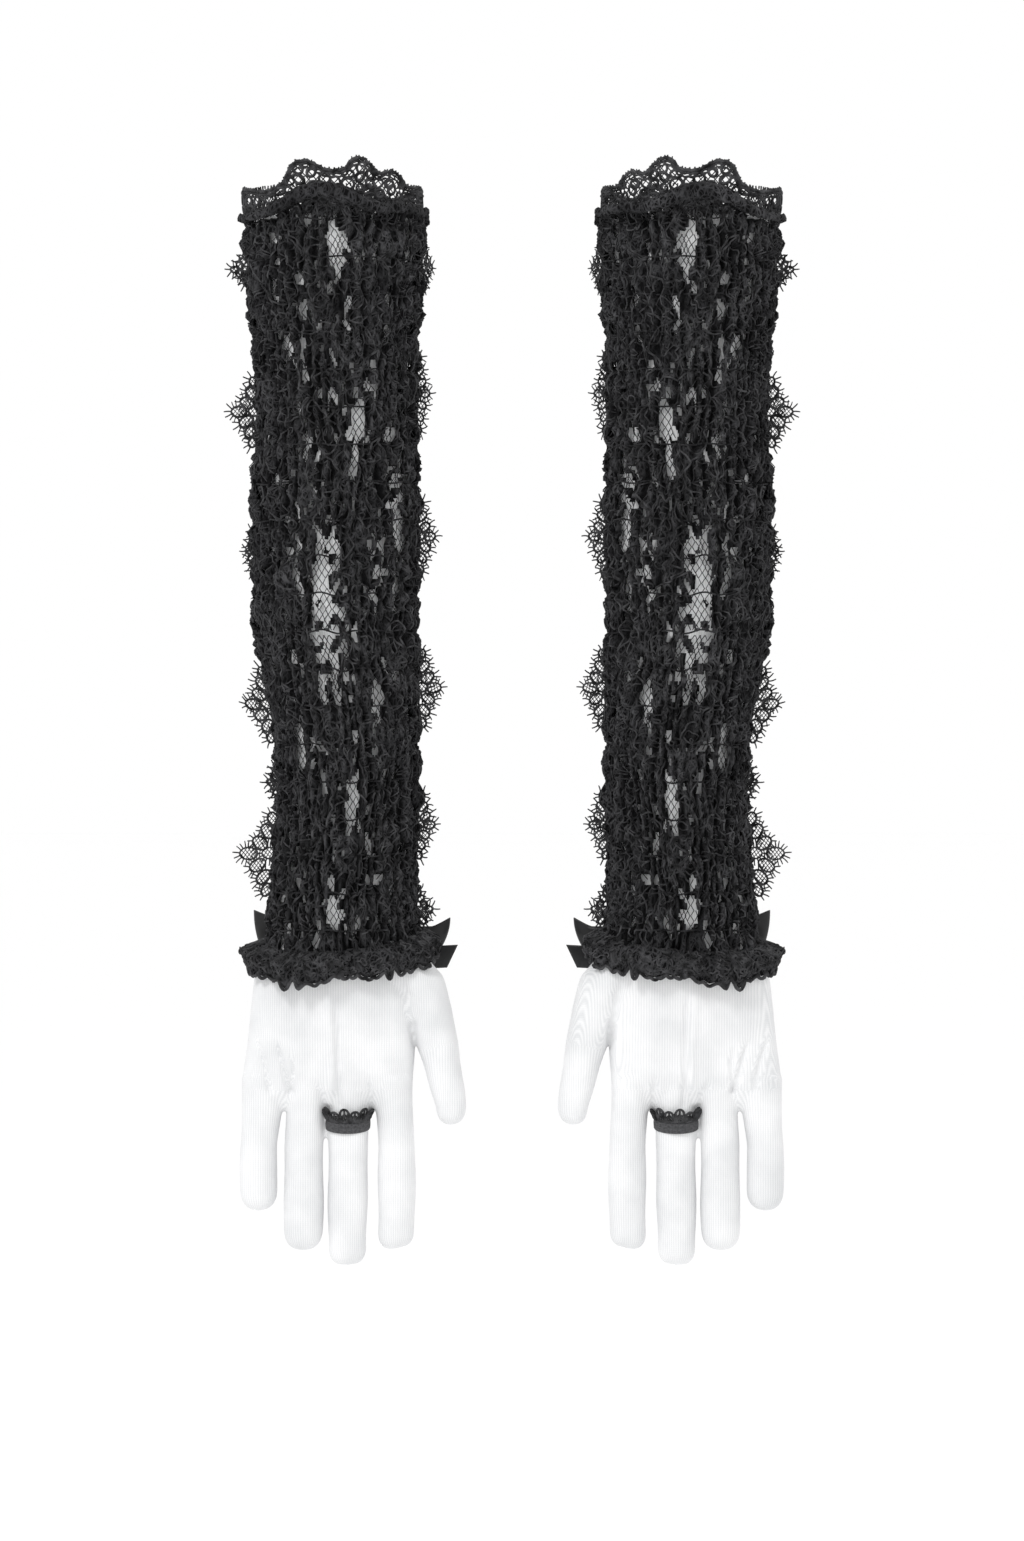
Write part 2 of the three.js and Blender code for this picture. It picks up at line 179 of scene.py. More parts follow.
def mottled(tree, shader, place, scale, dark, light):
    """Colour that wanders between two tones with a noise of the given scale."""
    noise = node(tree, "ShaderNodeTexNoise", {"Vector": place, "Scale": scale, "Detail": 4.0})
    ramp = node(tree, "ShaderNodeValToRGB", {"Fac": noise.outputs["Fac"]})
    ramp.color_ramp.elements[0].position = MOTTLE_LOW
    ramp.color_ramp.elements[0].color = (*dark, 1)
    ramp.color_ramp.elements[1].position = MOTTLE_HIGH
    ramp.color_ramp.elements[1].color = (*light, 1)
    tree.links.new(ramp.outputs["Color"], shader.inputs["Base Color"])


def add_bump(tree, shader, height, strength, distance):
    bump = node(tree, "ShaderNodeBump", {"Height": height, "Strength": strength, "Distance": distance})
    tree.links.new(bump.outputs["Normal"], shader.inputs["Normal"])


# %% Black lace cloth: a dense ground with fine threads that wander over it
CURL_SCALES = (300.0, 520.0)  # cells per metre of the wandering threads
CURL_WIDTH = 0.16
CURL_STRETCH = 0.55  # the gathers make the curls taller than wide
CURL_BEND, CURL_PUSH = 0.6, 1.6  # how often and how far a thread wanders, next to the size of its cells
GROOVE_SHADE_DEPTH = 3.4  # mm: so deep between the folds, the grey threads are painted nearly black, as painted shade in the grooves
LACE_BLACK, LACE_GREY = (0.0032, 0.0032, 0.0035, 1), (0.075, 0.075, 0.079, 1)


def curled_threads(tree, place, scale):
    """1 on fine wandering threads, 0 between them."""
    squeezed = node(tree, "ShaderNodeMapping", {"Vector": place, "Scale": (1, 1, CURL_STRETCH)})
    bend = node(tree, "ShaderNodeTexNoise", {"Vector": squeezed.outputs["Vector"],
                                             "Scale": scale * CURL_BEND})
    push = node(tree, "ShaderNodeVectorMath", {0: bend.outputs["Color"], "Scale": CURL_PUSH / scale},
                operation="SCALE")
    moved = node(tree, "ShaderNodeVectorMath", {0: squeezed.outputs["Vector"], 1: push.outputs[0]},
                 operation="ADD")
    cells = node(tree, "ShaderNodeTexVoronoi", {"Vector": moved.outputs[0], "Scale": scale},
                 feature="DISTANCE_TO_EDGE")
    return node(tree, "ShaderNodeMapRange", {"Value": cells.outputs["Distance"], "From Max": CURL_WIDTH,
                                             "To Min": 1.0, "To Max": 0.0}).outputs["Result"]


def lace_cloth():
    material, tree, shader = new_material("lace_cloth", 0.85, sheen=0.02, specular=0.05)
    place = node(tree, "ShaderNodeTexCoord").outputs["Object"]
    cloth = node(tree, "ShaderNodeAttribute", attribute_name="cloth").outputs["Vector"]
    depth = node(tree, "ShaderNodeSeparateXYZ", {"Vector": cloth}).outputs["X"]
    # Painted shade: the deeper the lace lies between the folds, the darker its colour, down to nearly black.
    painted_groove_shade = node(tree, "ShaderNodeMapRange", {"Value": depth, "From Min": 0.2, "From Max": GROOVE_SHADE_DEPTH,
                                               "To Min": 1.0, "To Max": 0.08}).outputs["Result"]
    coarse, fine = (curled_threads(tree, place, scale) for scale in CURL_SCALES)
    threads = math_node(tree, "MAXIMUM", coarse, math_node(tree, "MULTIPLY", fine, 0.75))
    patches = node(tree, "ShaderNodeTexNoise", {"Vector": place, "Scale": 55.0, "Detail": 3.0})
    worn = node(tree, "ShaderNodeMapRange", {"Value": patches.outputs["Fac"], "From Min": 0.38,
                                             "From Max": 0.66, "To Min": 0.35, "To Max": 1.0})
    tone = math_node(tree, "MULTIPLY", math_node(tree, "MULTIPLY", threads, worn.outputs["Result"]), painted_groove_shade)
    ramp = node(tree, "ShaderNodeValToRGB", {"Fac": tone})
    ramp.color_ramp.elements[0].color = LACE_BLACK
    ramp.color_ramp.elements[1].color = LACE_GREY
    tree.links.new(ramp.outputs["Color"], shader.inputs["Base Color"])
    add_bump(tree, shader, threads, 0.8, 0.0006)
    return material


# %% Thread, satin and covered elastic
THREAD_MOTTLE = 260  # blotches per metre, along a thread


def thread(name, dark, light, roughness, twist):
    """A thread: two tones along it and a slanting twist in its bump."""
    material, tree, shader = new_material(name, roughness, sheen=0.04, specular=0.12)
    place = node(tree, "ShaderNodeTexCoord").outputs["Object"]
    mottled(tree, shader, place, THREAD_MOTTLE, dark, light)
    turned = node(tree, "ShaderNodeMapping", {"Vector": place, "Rotation": (0.5, 0.6, 0.4)})
    strands = node(tree, "ShaderNodeTexWave", {"Vector": turned.outputs["Vector"], "Scale": twist},
                   wave_type="BANDS", bands_direction="DIAGONAL")
    add_bump(tree, shader, strands.outputs["Fac"], 0.5, 0.0003)
    return material


SATIN_DARK, SATIN_LIGHT = (0.004, 0.004, 0.0045), (0.010, 0.010, 0.011)
SATIN_RIBS = 700.0  # per metre


def satin():
    material, tree, shader = new_material("satin_ribbon", 0.30, sheen=0.04, specular=0.35)
    shader.inputs["Anisotropic"].default_value = 0.5
    place = node(tree, "ShaderNodeTexCoord").outputs["Object"]
    mottled(tree, shader, place, 60, SATIN_DARK, SATIN_LIGHT)
    ribs = node(tree, "ShaderNodeTexWave", {"Vector": place, "Scale": SATIN_RIBS, "Distortion": 0.6},
                wave_type="BANDS", bands_direction="X")
    crease = node(tree, "ShaderNodeTexNoise", {"Vector": place, "Scale": 130.0, "Detail": 3.0})
    fine = math_node(tree, "MULTIPLY", ribs.outputs["Fac"], 0.25)
    add_bump(tree, shader, math_node(tree, "ADD", fine, crease.outputs["Fac"]), 0.35, 0.0005)
    return material


ELASTIC_DARK, ELASTIC_LIGHT = (0.044, 0.044, 0.047), (0.088, 0.088, 0.092)


def covered_elastic():
    material, tree, shader = new_material("covered_elastic", 0.7, sheen=0.1, specular=0.15)
    place = node(tree, "ShaderNodeAttribute", attribute_name="cloth").outputs["Vector"]
    mottled(tree, shader, place, 0.9, ELASTIC_DARK, ELASTIC_LIGHT)
    ribs = node(tree, "ShaderNodeTexWave", {"Vector": place, "Scale": 0.45}, wave_type="BANDS",
                bands_direction="X")
    rows = node(tree, "ShaderNodeTexWave", {"Vector": place, "Scale": 0.3}, wave_type="BANDS",
                bands_direction="Y")
    add_bump(tree, shader, math_node(tree, "ADD", ribs.outputs["Fac"], rows.outputs["Fac"]), 0.6, 0.0004)
    return material


# %% White knit
# The attribute "cloth" holds millimetres round and along the piece, so stitches follow the surface.
KNIT_WALE = 1.25  # mm from one column of stitches to the next
KNIT_COURSE = 0.95  # mm from one row to the next
KNIT_LEAN = 1.3  # how steeply the legs of a stitch slant
KNIT_SHADE, KNIT_WHITE = (0.61, 0.62, 0.63, 1), (0.835, 0.835, 0.84, 1)


def white_knit():
    material, tree, shader = new_material("white_knit", 0.93, sheen=0.02, specular=0.1)
    cloth = node(tree, "ShaderNodeAttribute", attribute_name="cloth").outputs["Vector"]
    split = node(tree, "ShaderNodeSeparateXYZ", {"Vector": cloth})
    across = math_node(tree, "FRACT", math_node(tree, "DIVIDE", split.outputs["X"], KNIT_WALE))
    lean = math_node(tree, "ABSOLUTE", math_node(tree, "SUBTRACT", across, 0.5))
    course = math_node(tree, "DIVIDE", split.outputs["Y"], KNIT_COURSE)
    stitch = math_node(tree, "ADD", course, math_node(tree, "MULTIPLY", lean, KNIT_LEAN))
    leg = math_node(tree, "SINE", math_node(tree, "MULTIPLY", stitch, TAU))
    column = math_node(tree, "COSINE", math_node(tree, "MULTIPLY", lean, TAU))
    height = math_node(tree, "SUBTRACT", math_node(tree, "MULTIPLY", leg, 0.4), column)
    add_bump(tree, shader, height, 0.30, 0.0002)
    place = node(tree, "ShaderNodeTexCoord").outputs["Object"]
    uneven = node(tree, "ShaderNodeTexNoise", {"Vector": place, "Scale": 45.0, "Detail": 5.0})
    # Painted shade: the colour is darker where the stitches lie low, in the furrows between them; the noise
    # adds random uneven tone.
    stitch_furrow_shade = node(tree, "ShaderNodeMapRange", {"Value": height, "From Min": -1.4, "From Max": 1.4,
                                               "To Min": 0.0, "To Max": 0.28})
    tone = math_node(tree, "ADD", math_node(tree, "MULTIPLY", uneven.outputs["Fac"], 0.6),
                     stitch_furrow_shade.outputs["Result"])
    ramp = node(tree, "ShaderNodeValToRGB", {"Fac": tone})
    ramp.color_ramp.elements[0].position = 0.2
    ramp.color_ramp.elements[0].color = KNIT_SHADE
    ramp.color_ramp.elements[1].position = 0.65
    ramp.color_ramp.elements[1].color = KNIT_WHITE
    tree.links.new(ramp.outputs["Color"], shader.inputs["Base Color"])
    return material


LACE_CLOTH = lace_cloth()
CORD = thread("cord_thread", (0.006, 0.006, 0.0065), (0.062, 0.062, 0.065), 0.7, 900.0)
NET = thread("net_thread", (0.008, 0.008, 0.009), (0.034, 0.034, 0.036), 0.75, 1200.0)
SATIN = satin()
ELASTIC = covered_elastic()
KNIT = white_knit()
print("made", len(bpy.data.materials), "materials")

# %% [markdown]
# ## One glove's own frame
# All shapes are worked out once, in millimetres, for the glove with its thumb at +x. `place` puts them in
# the row's frame and turns one glove into its mirror image, with its faces turned round again.

# %% From one glove's frame to the row's frame
OPENING_X = {}
for side in ("left", "right"):
    low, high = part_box(f"{side}_lace_sleeve_arm")
    OPENING_X[side] = (low[0] + high[0]) / 2 / MM
MIRROR = {"left": 1, "right": -1}


def place(points, side):
    """Millimetres in one glove's frame to metres in the row's frame."""
    out = np.array(points, float)
    out[:, 0] = OPENING_X[side] + MIRROR[side] * out[:, 0]
    return out * MM


def cloth_object(name, side, points, faces, material, cloth=None, normals=None):
    """A mesh piece. cloth is the pattern's place in millimetres, normals one direction per point."""
    mesh = bpy.data.meshes.new(f"{side}_{name}")
    if MIRROR[side] < 0:
        faces = [face[::-1] for face in faces]
    mesh.from_pydata(place(points, side).tolist(), [], faces)
    mesh.polygons.foreach_set("use_smooth", np.full(len(mesh.polygons), True))
    if cloth is not None:
        layer = mesh.attributes.new("cloth", "FLOAT_VECTOR", "POINT")
        layer.data.foreach_set("vector", np.c_[cloth, np.zeros(len(cloth))].astype(np.float32).ravel())
    if normals is not None:
        turned = np.array(normals, float) * (MIRROR[side], 1, 1)
        mesh.normals_split_custom_set_from_vertices(turned.tolist())
    mesh.materials.append(material)
    piece = bpy.data.objects.new(f"{side}_{name}", mesh)
    bpy.context.collection.objects.link(piece)
    return piece


# %% Sheets with a thickness
def rims(faces):
    """The directed edges that only one face uses."""
    edges = set()
    for face in faces:
        for start, end in zip(face, face[1:] + face[:1]):
            edges.add((start, end))
    return [(a, b) for a, b in edges if (b, a) not in edges]


def walled(outer, inner, faces):
    """A closed sheet from its outer points, its inner points and the outer faces."""
    faces = [list(face) for face in faces]
    count = len(outer)
    back = [[count + i for i in reversed(face)] for face in faces]
    edge = [[b, a, count + a, count + b] for a, b in sorted(rims(faces))]
    used = np.zeros(2 * count, bool)
    every = faces + back + edge
    for face in every:
        used[face] = True
    renumber = np.cumsum(used) - 1
    every = [[int(renumber[i]) for i in face] for face in every]
    return np.vstack((outer, inner))[used], every, used


# %% [markdown]
# ## Smooth random fields
# Hand-gathered cloth is never regular. A sum of a few waves with random directions gives an uneven field
# that still closes on itself round the arm, and a fixed seed gives the same one each time.


# %% Ripple fields
class Ripple:
    """A smooth random field over the angle round the arm and the height in millimetres."""

    def __init__(self, seed, around, shortest, count=16, least=0):
        draw = np.random.RandomState(seed)
        self.turns = draw.randint(least, around + 1, count) * draw.choice((-1, 1), count)
        self.along = draw.uniform(-1, 1, count) * TAU / shortest
        self.phase = draw.uniform(0, TAU, count)

    def __call__(self, angle, z):
        total = 0
        for turns, along, phase in zip(self.turns, self.along, self.phase):
            total = total + np.cos(turns * angle + along * z + phase)
        return total / math.sqrt(len(self.turns) / 2)


# %% [markdown]
# ## The sleeve's shape
# The sleeve follows the arm: wide at the opening, slightly waisted above the elbow, narrow at the lower
# forearm. Its outline comes from a few stations, and the gathers are cut into it from outside.

# %% Stations of the sleeve: height, little-finger edge, thumb edge and half depth
SLEEVE = np.array([
    (0, -44.0, 44.5, 30.5),
    (-46, -43.0, 44.5, 29.5),
    (-64, -39.4, 41.6, 29.0),
    (-98, -37.6, 41.4, 28.6),
    (-140, -40.4, 42.2, 28.3),
    (-204, -39.6, 42.0, 28.0),
    (-224, -34.4, 42.2, 27.0),
    (-252, -30.2, 42.4, 26.2),
    (-286, -27.2, 42.6, 25.6),
    (-314, -29.8, 41.0, 25.2),
    (-344, -32.4, 41.4, 24.8),
    (-365, -34.4, 45.4, 24.6),
])
SOFTEN = 7  # mm over which a station's corner is rounded
SMOOTHING = np.linspace(-SOFTEN, SOFTEN, 5)


def section(z):
    """Centre, half width and half depth of the sleeve at height z."""
    z = np.asarray(z, float)
    heights = -SLEEVE[:, 0]
    mean = [sum(np.interp(-z + d, heights, SLEEVE[:, k]) for d in SMOOTHING) / len(SMOOTHING)
            for k in (1, 2, 3)]
    return (mean[0] + mean[1]) / 2, (mean[1] - mean[0]) / 2, mean[2]


def on_sleeve(angle, z, inward):
    """A point at an angle round the sleeve and a height, so far inside its outline."""
    angle, z, inward = np.broadcast_arrays(angle, z, inward)
    centre, a, b = section(z)
    x = centre + (a - inward) * np.cos(angle)
    y = (b - inward) * np.sin(angle)
    return np.stack((x, y, z), axis=-1)


def angle_at(x, z, front=True):
    """The angle at which the sleeve has the given x, on the palm's side or on the back."""
    centre, a, _ = section(z)
    turn = np.arccos(np.clip((x - centre) / a, -1, 1))
    return -turn if front else turn


# %% Gathers: folds, puffs between the elastic rows and the lumps of the motifs
ROW_PITCH = 18  # mm between rows of elastic
FIRST_ROW = -10
LAST_ROW = -354
ROWS = np.arange(FIRST_ROW, LAST_ROW - 1, -ROW_PITCH)
FOLDS = 46  # round the arm
FOLD_DEPTH = 3.0
ROW_PINCH = 1.5
LUMPS = 0.9
DEEPEST = 4.6  # the grooves stop short of the knit inside
LEAN, BUNCH, KINK = 3.0, 1.6, 0.55  # radians by which a fold strays: slowly, in bunches and in short kinks
PUFF_SQUARE = 0.65  # 1 is a sine wave between two rows, lower is fuller
FOLD_SHARP = 1.2  # 1 is a sine wave, higher makes narrow grooves between broad folds

lean = Ripple(3, 3, 90)
bunch = Ripple(4, 9, 60)
kink = Ripple(5, 24, 16)
strength = Ripple(6, 12, 45)
lump = Ripple(7, 60, 7)
puff_size = Ripple(8, 8, 70)


def relief(angle, z):
    """How far inside the outline the lace lies."""
    phase = FOLDS * angle + LEAN * lean(angle, z) + BUNCH * bunch(angle, z) + KINK * kink(angle, z)
    fold = 0.5 + 0.5 * np.cos(phase)
    puff = np.abs(np.sin(math.pi * (z - FIRST_ROW) / ROW_PITCH)) ** PUFF_SQUARE
    deep = FOLD_DEPTH * np.clip(1 + 0.35 * strength(angle, z), 0.35, 1.8)
    pinch = ROW_PINCH * np.clip(1 + 0.3 * puff_size(angle, z), 0.4, 1.7)
    return np.minimum(deep * (1 - fold) ** FOLD_SHARP + pinch * (1 - puff) + LUMPS * lump(angle, z), DEEPEST)


print("the sleeve has", len(ROWS), "rows of elastic and", FOLDS, "folds round the arm")

# %% [markdown]
# ## Where the net shows
# Between the motifs the lace is only a thin diamond net, and the white glove shows through it. The large
# windows have a place of their own, and small ones are scattered between them.

# %% Windows in the dense lace: x, z of the middle, width and height, on the palm's side or the back
WINDOWS = [
    (3, -24, 11, 30, True),
    (34, -146, 8, 52, True),
    (-2, -196, 14, 78, True),
    (23, -242, 6, 22, True),
    (1, -344, 10, 18, True),
    (-22, -70, 7, 24, True),
    (14, -108, 6, 30, True),
    (-12, -118, 6, 20, True),
    (22, -186, 5, 26, True),
    (-16, -262, 6, 24, True),
    (10, -292, 6, 22, True),
    (-4, -64, 9, 40, False),
    (20, -130, 8, 44, False),
    (-16, -172, 10, 60, False),
    (14, -236, 9, 46, False),
    (0, -300, 8, 34, False),
]
WINDOW_SQUARE = 2.5  # 2 is an oval, higher is squarer at the top and bottom
EDGE_WANDER = 0.7  # how uneven a window's edge is
SCATTER, HOLE_SLOPE = 1.45, 0.9  # higher leaves fewer small holes, and lower gives them softer edges
NEAR_A_WINDOW = -1.2  # the edges wander only where the lace is at least this open
SHRINK = 0.1
TOP_EDGE = np.array([(-46, -9.5), (-29, -8.5), (-22, -4)])  # x and height where the dense lace starts

window_edge = Ripple(11, 48, 9, count=24)
scatter = Ripple(12, 62, 15, count=30)


def openness(angle, z):
    """Above 0 where the lace is only net."""
    best = HOLE_SLOPE * (scatter(angle, z) - SCATTER)
    for x, middle, width, height, front in WINDOWS:
        centre = angle_at(x, middle, front)
        off = np.angle(np.exp(1j * (angle - centre)))
        _, a, b = section(middle)
        across = off * math.hypot(a * math.sin(centre), b * math.cos(centre)) / (width / 2)
        along = (z - middle) / (height / 2)
        best = np.maximum(best, 1 - across ** 2 - np.abs(along) ** WINDOW_SQUARE)
    best = best + EDGE_WANDER * window_edge(angle, z) * (best > NEAR_A_WINDOW) - SHRINK
    centre, a, _ = section(0.0)
    top = np.interp(centre + a * np.cos(angle), TOP_EDGE[:, 0], TOP_EDGE[:, 1])
    return np.maximum(best, z - top)


print("the net shows in", len(WINDOWS), "large windows")

# %% [markdown]
# ## The gathered lace
# The sleeve is one tall ring of small faces, set in by the gathers, with the faces of the windows left out.
# It is made in two lengths, an upper and a lower one.

# %% The dense lace of the sleeve
COLUMNS = 320
ROW_STEP = 1.7  # mm
LACE_THICKNESS = 0.5
SLEEVE_TOP = -4
SPLIT = -210
HEM = -364


def lace_sheet(top, bottom):
    """Outer and inner points and faces of a length of sleeve with its windows open."""
    rows = int(round((top - bottom) / ROW_STEP)) + 1
    angles = np.arange(COLUMNS) * TAU / COLUMNS
    heights = np.linspace(top, bottom, rows)
    angle, z = np.meshgrid(angles, heights)
    set_in = relief(angle, z)
    outer = on_sleeve(angle, z, set_in).reshape(-1, 3)
    inner = on_sleeve(angle, z, set_in + LACE_THICKNESS).reshape(-1, 3)
    solid = openness(angle + TAU / COLUMNS / 2, z - ROW_STEP / 2) <= 0
    faces = []
    for i in range(rows - 1):
        for j in np.flatnonzero(solid[i]):
            k = (j + 1) % COLUMNS
            faces.append([i * COLUMNS + int(j), (i + 1) * COLUMNS + int(j),
                          (i + 1) * COLUMNS + int(k), i * COLUMNS + int(k)])
    points, faces, used = walled(outer, inner, faces)
    # The depth below the outline goes with the points, so that the lace's material can paint shade into the
    # grooves.
    depth = set_in.ravel()
    return points, faces, np.c_[np.r_[depth, depth], np.zeros(2 * len(depth))][used]


SHEETS = {"upper": lace_sheet(SLEEVE_TOP, SPLIT), "lower": lace_sheet(SPLIT, HEM)}


def bend_at_wrist(piece):
    """Bakes the piece's place into its points; it is not tied to the arm or the hand."""
    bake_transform(piece)


def attach(piece, side, length):
    """The upper length rides on the arm, and the lower one stays where it is made."""
    if length == "upper":
        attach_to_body(piece, f"{side}_arm")
    else:
        bend_at_wrist(piece)


for side in MIRROR:
    for length, node_name in (("upper", "lace_sleeve_arm"), ("lower", "lace_sleeve_wrist")):
        points, faces, depth = SHEETS[length]
        piece = cloth_object(f"gathered_lace_{length}", side, points, faces, LACE_CLOTH, cloth=depth)
        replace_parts(piece, f"{side}_{node_name}")
        attach(piece, side, length)
for length, (points, faces, _) in SHEETS.items():
    print(length, "lace has", len(faces), "faces")

# %% [markdown]
# ## A thread maker
# Cords, net, elastic and the lashes of the lace are all threads. One Geometry Nodes tree sweeps a small
# round section along any set of lines, thinner where the lines say so, and gives closed tubes.


# %% Geometry Nodes: lines to threads
def thread_tree():
    tree = bpy.data.node_groups.new("threads", "GeometryNodeTree")
    tree.interface.new_socket("Lines", in_out="INPUT", socket_type="NodeSocketGeometry")
    for name, kind, value in (("Radius", "NodeSocketFloat", 0.0005), ("Sides", "NodeSocketInt", 5)):
        tree.interface.new_socket(name, in_out="INPUT", socket_type=kind).default_value = value
    tree.interface.new_socket("Material", in_out="INPUT", socket_type="NodeSocketMaterial")
    tree.interface.new_socket("Threads", in_out="OUTPUT", socket_type="NodeSocketGeometry")
    start = node(tree, "NodeGroupInput").outputs
    lines = node(tree, "GeometryNodeMeshToCurve", {"Mesh": start["Lines"]})
    thickness = node(tree, "GeometryNodeInputNamedAttribute", {"Name": "thickness"}, data_type="FLOAT")
    ring = node(tree, "GeometryNodeCurvePrimitiveCircle", {"Resolution": start["Sides"],
                                                           "Radius": start["Radius"]})
    sized = node(tree, "GeometryNodeSetCurveRadius", {"Curve": lines.outputs["Curve"],
                                                      "Radius": thickness.outputs["Attribute"]})
    swept = node(tree, "GeometryNodeCurveToMesh", {"Curve": sized.outputs["Curve"],
                                                   "Profile Curve": ring.outputs["Curve"],
                                                   "Fill Caps": True})
    if "Scale" in swept.inputs:
        tree.links.new(thickness.outputs["Attribute"], swept.inputs["Scale"])
    smooth = node(tree, "GeometryNodeSetShadeSmooth", {"Geometry": swept.outputs["Mesh"]})
    real = node(tree, "GeometryNodeRealizeInstances", {"Geometry": smooth.outputs["Geometry"]})
    painted = node(tree, "GeometryNodeSetMaterial", {"Geometry": real.outputs["Geometry"],
                                                     "Material": start["Material"]})
    end = node(tree, "NodeGroupOutput")
    tree.links.new(painted.outputs["Geometry"], end.inputs["Threads"])
    return tree


THREADS = thread_tree()


def socket_id(tree, name):
    return next(item.identifier for item in tree.interface.items_tree
                if item.name == name and item.in_out == "INPUT")


def thread_object(name, side, lines, radius, sides, material):
    """Threads along lines, each (points in mm, thickness, closed). The result is one plain mesh."""
    points, edges, thick = [], [], []
    for line, thickness, closed in lines:
        first, count = len(points), len(line)
        points.extend(line)
        thick.extend(np.broadcast_to(thickness, count))
        edges.extend((first + i, first + i + 1) for i in range(count - 1))
        if closed:
            edges.append((first + count - 1, first))
    mesh = bpy.data.meshes.new(f"{side}_{name}_lines")
    mesh.from_pydata(place(points, side).tolist(), edges, [])
    mesh.attributes.new("thickness", "FLOAT", "POINT").data.foreach_set("value", np.array(thick, np.float32))
    carrier = bpy.data.objects.new(f"{side}_{name}_lines", mesh)
    bpy.context.collection.objects.link(carrier)
    modifier = carrier.modifiers.new("threads", "NODES")
    modifier.node_group = THREADS
    modifier[socket_id(THREADS, "Radius")] = radius * MM
    modifier[socket_id(THREADS, "Sides")] = sides
    modifier[socket_id(THREADS, "Material")] = material
    bpy.context.view_layer.update()
    seen = carrier.evaluated_get(bpy.context.evaluated_depsgraph_get())
    result = bpy.data.meshes.new_from_object(seen)
    result.name = f"{side}_{name}"
    bpy.data.objects.remove(carrier)
    piece = bpy.data.objects.new(f"{side}_{name}", result)
    bpy.context.collection.objects.link(piece)
    return piece


# %% [markdown]
# ## The net
# The net hangs in the windows as thin threads that cross in tall diamonds, because the gathers squeeze it
# sideways. Each thread zigzags between its two neighbours and stops a little under the dense lace.

# %% Net threads in the windows
NET_STRANDS = 160
NET_STEP = 2.5  # mm down each side of a diamond
NET_DEPTH = 1.7
NET_SWAY = 0.016  # radians
NET_FOLLOWS = 0.35  # the share of the folds' depth that the net takes on
NET_RADIUS = 0.24
NET_OVERLAP = 0.45  # how far the net runs on under the dense lace
sway = Ripple(21, 30, 26)


def net_lines(top, bottom):
    lines = []
    heights = np.arange(top, bottom, -NET_STEP)
    swing = np.where(np.arange(len(heights)) % 2, 0.5, -0.5)
    for strand in range(NET_STRANDS):
        way = 1 if strand % 2 else -1
        angle = (strand + way * swing) * TAU / NET_STRANDS
        angle = angle + NET_SWAY * sway(strand * TAU / NET_STRANDS, heights)
        inside = openness(angle, heights) > -NET_OVERLAP
        points = on_sleeve(angle, heights, NET_DEPTH + NET_FOLLOWS * relief(angle, heights))
        run = []
        for k, keep in enumerate(list(inside) + [False]):
            if keep:
                run.append(k)
            elif run:
                if len(run) > 1:
                    lines.append((points[run], 1.0, False))
                run = []
    return lines


# %% [markdown]
# ## Corded motifs
# The flowers and leaves of the lace are outlined with a thick cord. Flat, they would be round flowers. The
# gathers squeeze them to about half their width and make the cords wriggle. So each motif is drawn flat,
# squeezed, wriggled and laid on the folds.

# %% Flowers and leaves, drawn flat in millimetres
SQUEEZE = 0.55


def flower(radius, petals, points=44):
    """Closed outlines of a flower: petals with a waist, an inner ring and a small eye."""
    t = np.linspace(0, TAU, points, endpoint=False)
    lobes = 0.68 + 0.32 * np.abs(np.cos(petals * t / 2)) ** 0.7
    outer = radius * lobes[:, None] * np.c_[np.cos(t), np.sin(t)]
    s = np.linspace(0, TAU, 14, endpoint=False)
    eye = radius * 0.2 * np.c_[np.cos(s), np.sin(s)]
    inner = radius * 0.55 * lobes[::2, None] * np.c_[np.cos(t[::2]), np.sin(t[::2])]
    return [(outer, 1.0, True), (inner, 0.75, True), (eye, 0.8, True)]


def leaf(length, width, points=22):
    """A closed leaf with a scalloped edge and a wavy vein."""
    t = np.linspace(0, TAU, points, endpoint=False)
    side_way = width / 2 * np.sin(t) * (1 + 0.18 * np.cos(7 * t))
    outline = np.c_[side_way, length / 2 * np.cos(t)]
    v = np.linspace(-0.42, 0.42, 9) * length
    vein = np.c_[0.12 * width * np.sin(v * 0.9), v]
    return [(outline, 1.0, True), (vein, 0.7, False)]


def spun(points, turn):
    """Flat points turned about the origin."""
    spin = np.array([[math.cos(turn), -math.sin(turn)], [math.sin(turn), math.cos(turn)]])
    return points @ spin.T


print("a flower has", len(flower(10, 5)), "outlines and a leaf", len(leaf(19, 11)))

# %% Cords along the motifs, laid on the folds
CORD_RADIUS = 0.475
CORD_LIFT = 0.35  # the cord stands this far out of the lace
MOTIF_PITCH = (15, 21)  # mm round and along the gathered sleeve
LEAF = (19, 11)  # length and width of the usual leaf
FLOWER_RADIUS = 10.5
STRAY = (0.04, 2.0)  # how far a motif strays, in radians round the sleeve and mm along it
WRIGGLE, WRIGGLE_ALONG = 1.15, 0.8  # mm
UNDER_THE_EDGE = 0.12  # a cord runs this far past the edge of a window, on the scale of openness
wriggle = Ripple(31, 44, 9)
wriggle_along = Ripple(32, 30, 12)


def resample(points, closed, step=1.7):
    """Evenly spaced points along a line."""
    line = np.vstack((points, points[:1])) if closed else np.asarray(points)
    run = np.r_[0, np.cumsum(np.linalg.norm(np.diff(line, axis=0), axis=1))]
    count = max(int(run[-1] / step), 4)
    at = np.linspace(0, run[-1], count + 1)
    even = np.stack([np.interp(at, run, line[:, k]) for k in range(line.shape[1])], axis=1)
    return even[:-1] if closed else even


MEAN_RADIUS = 36  # mm, to turn a length round the sleeve into an angle


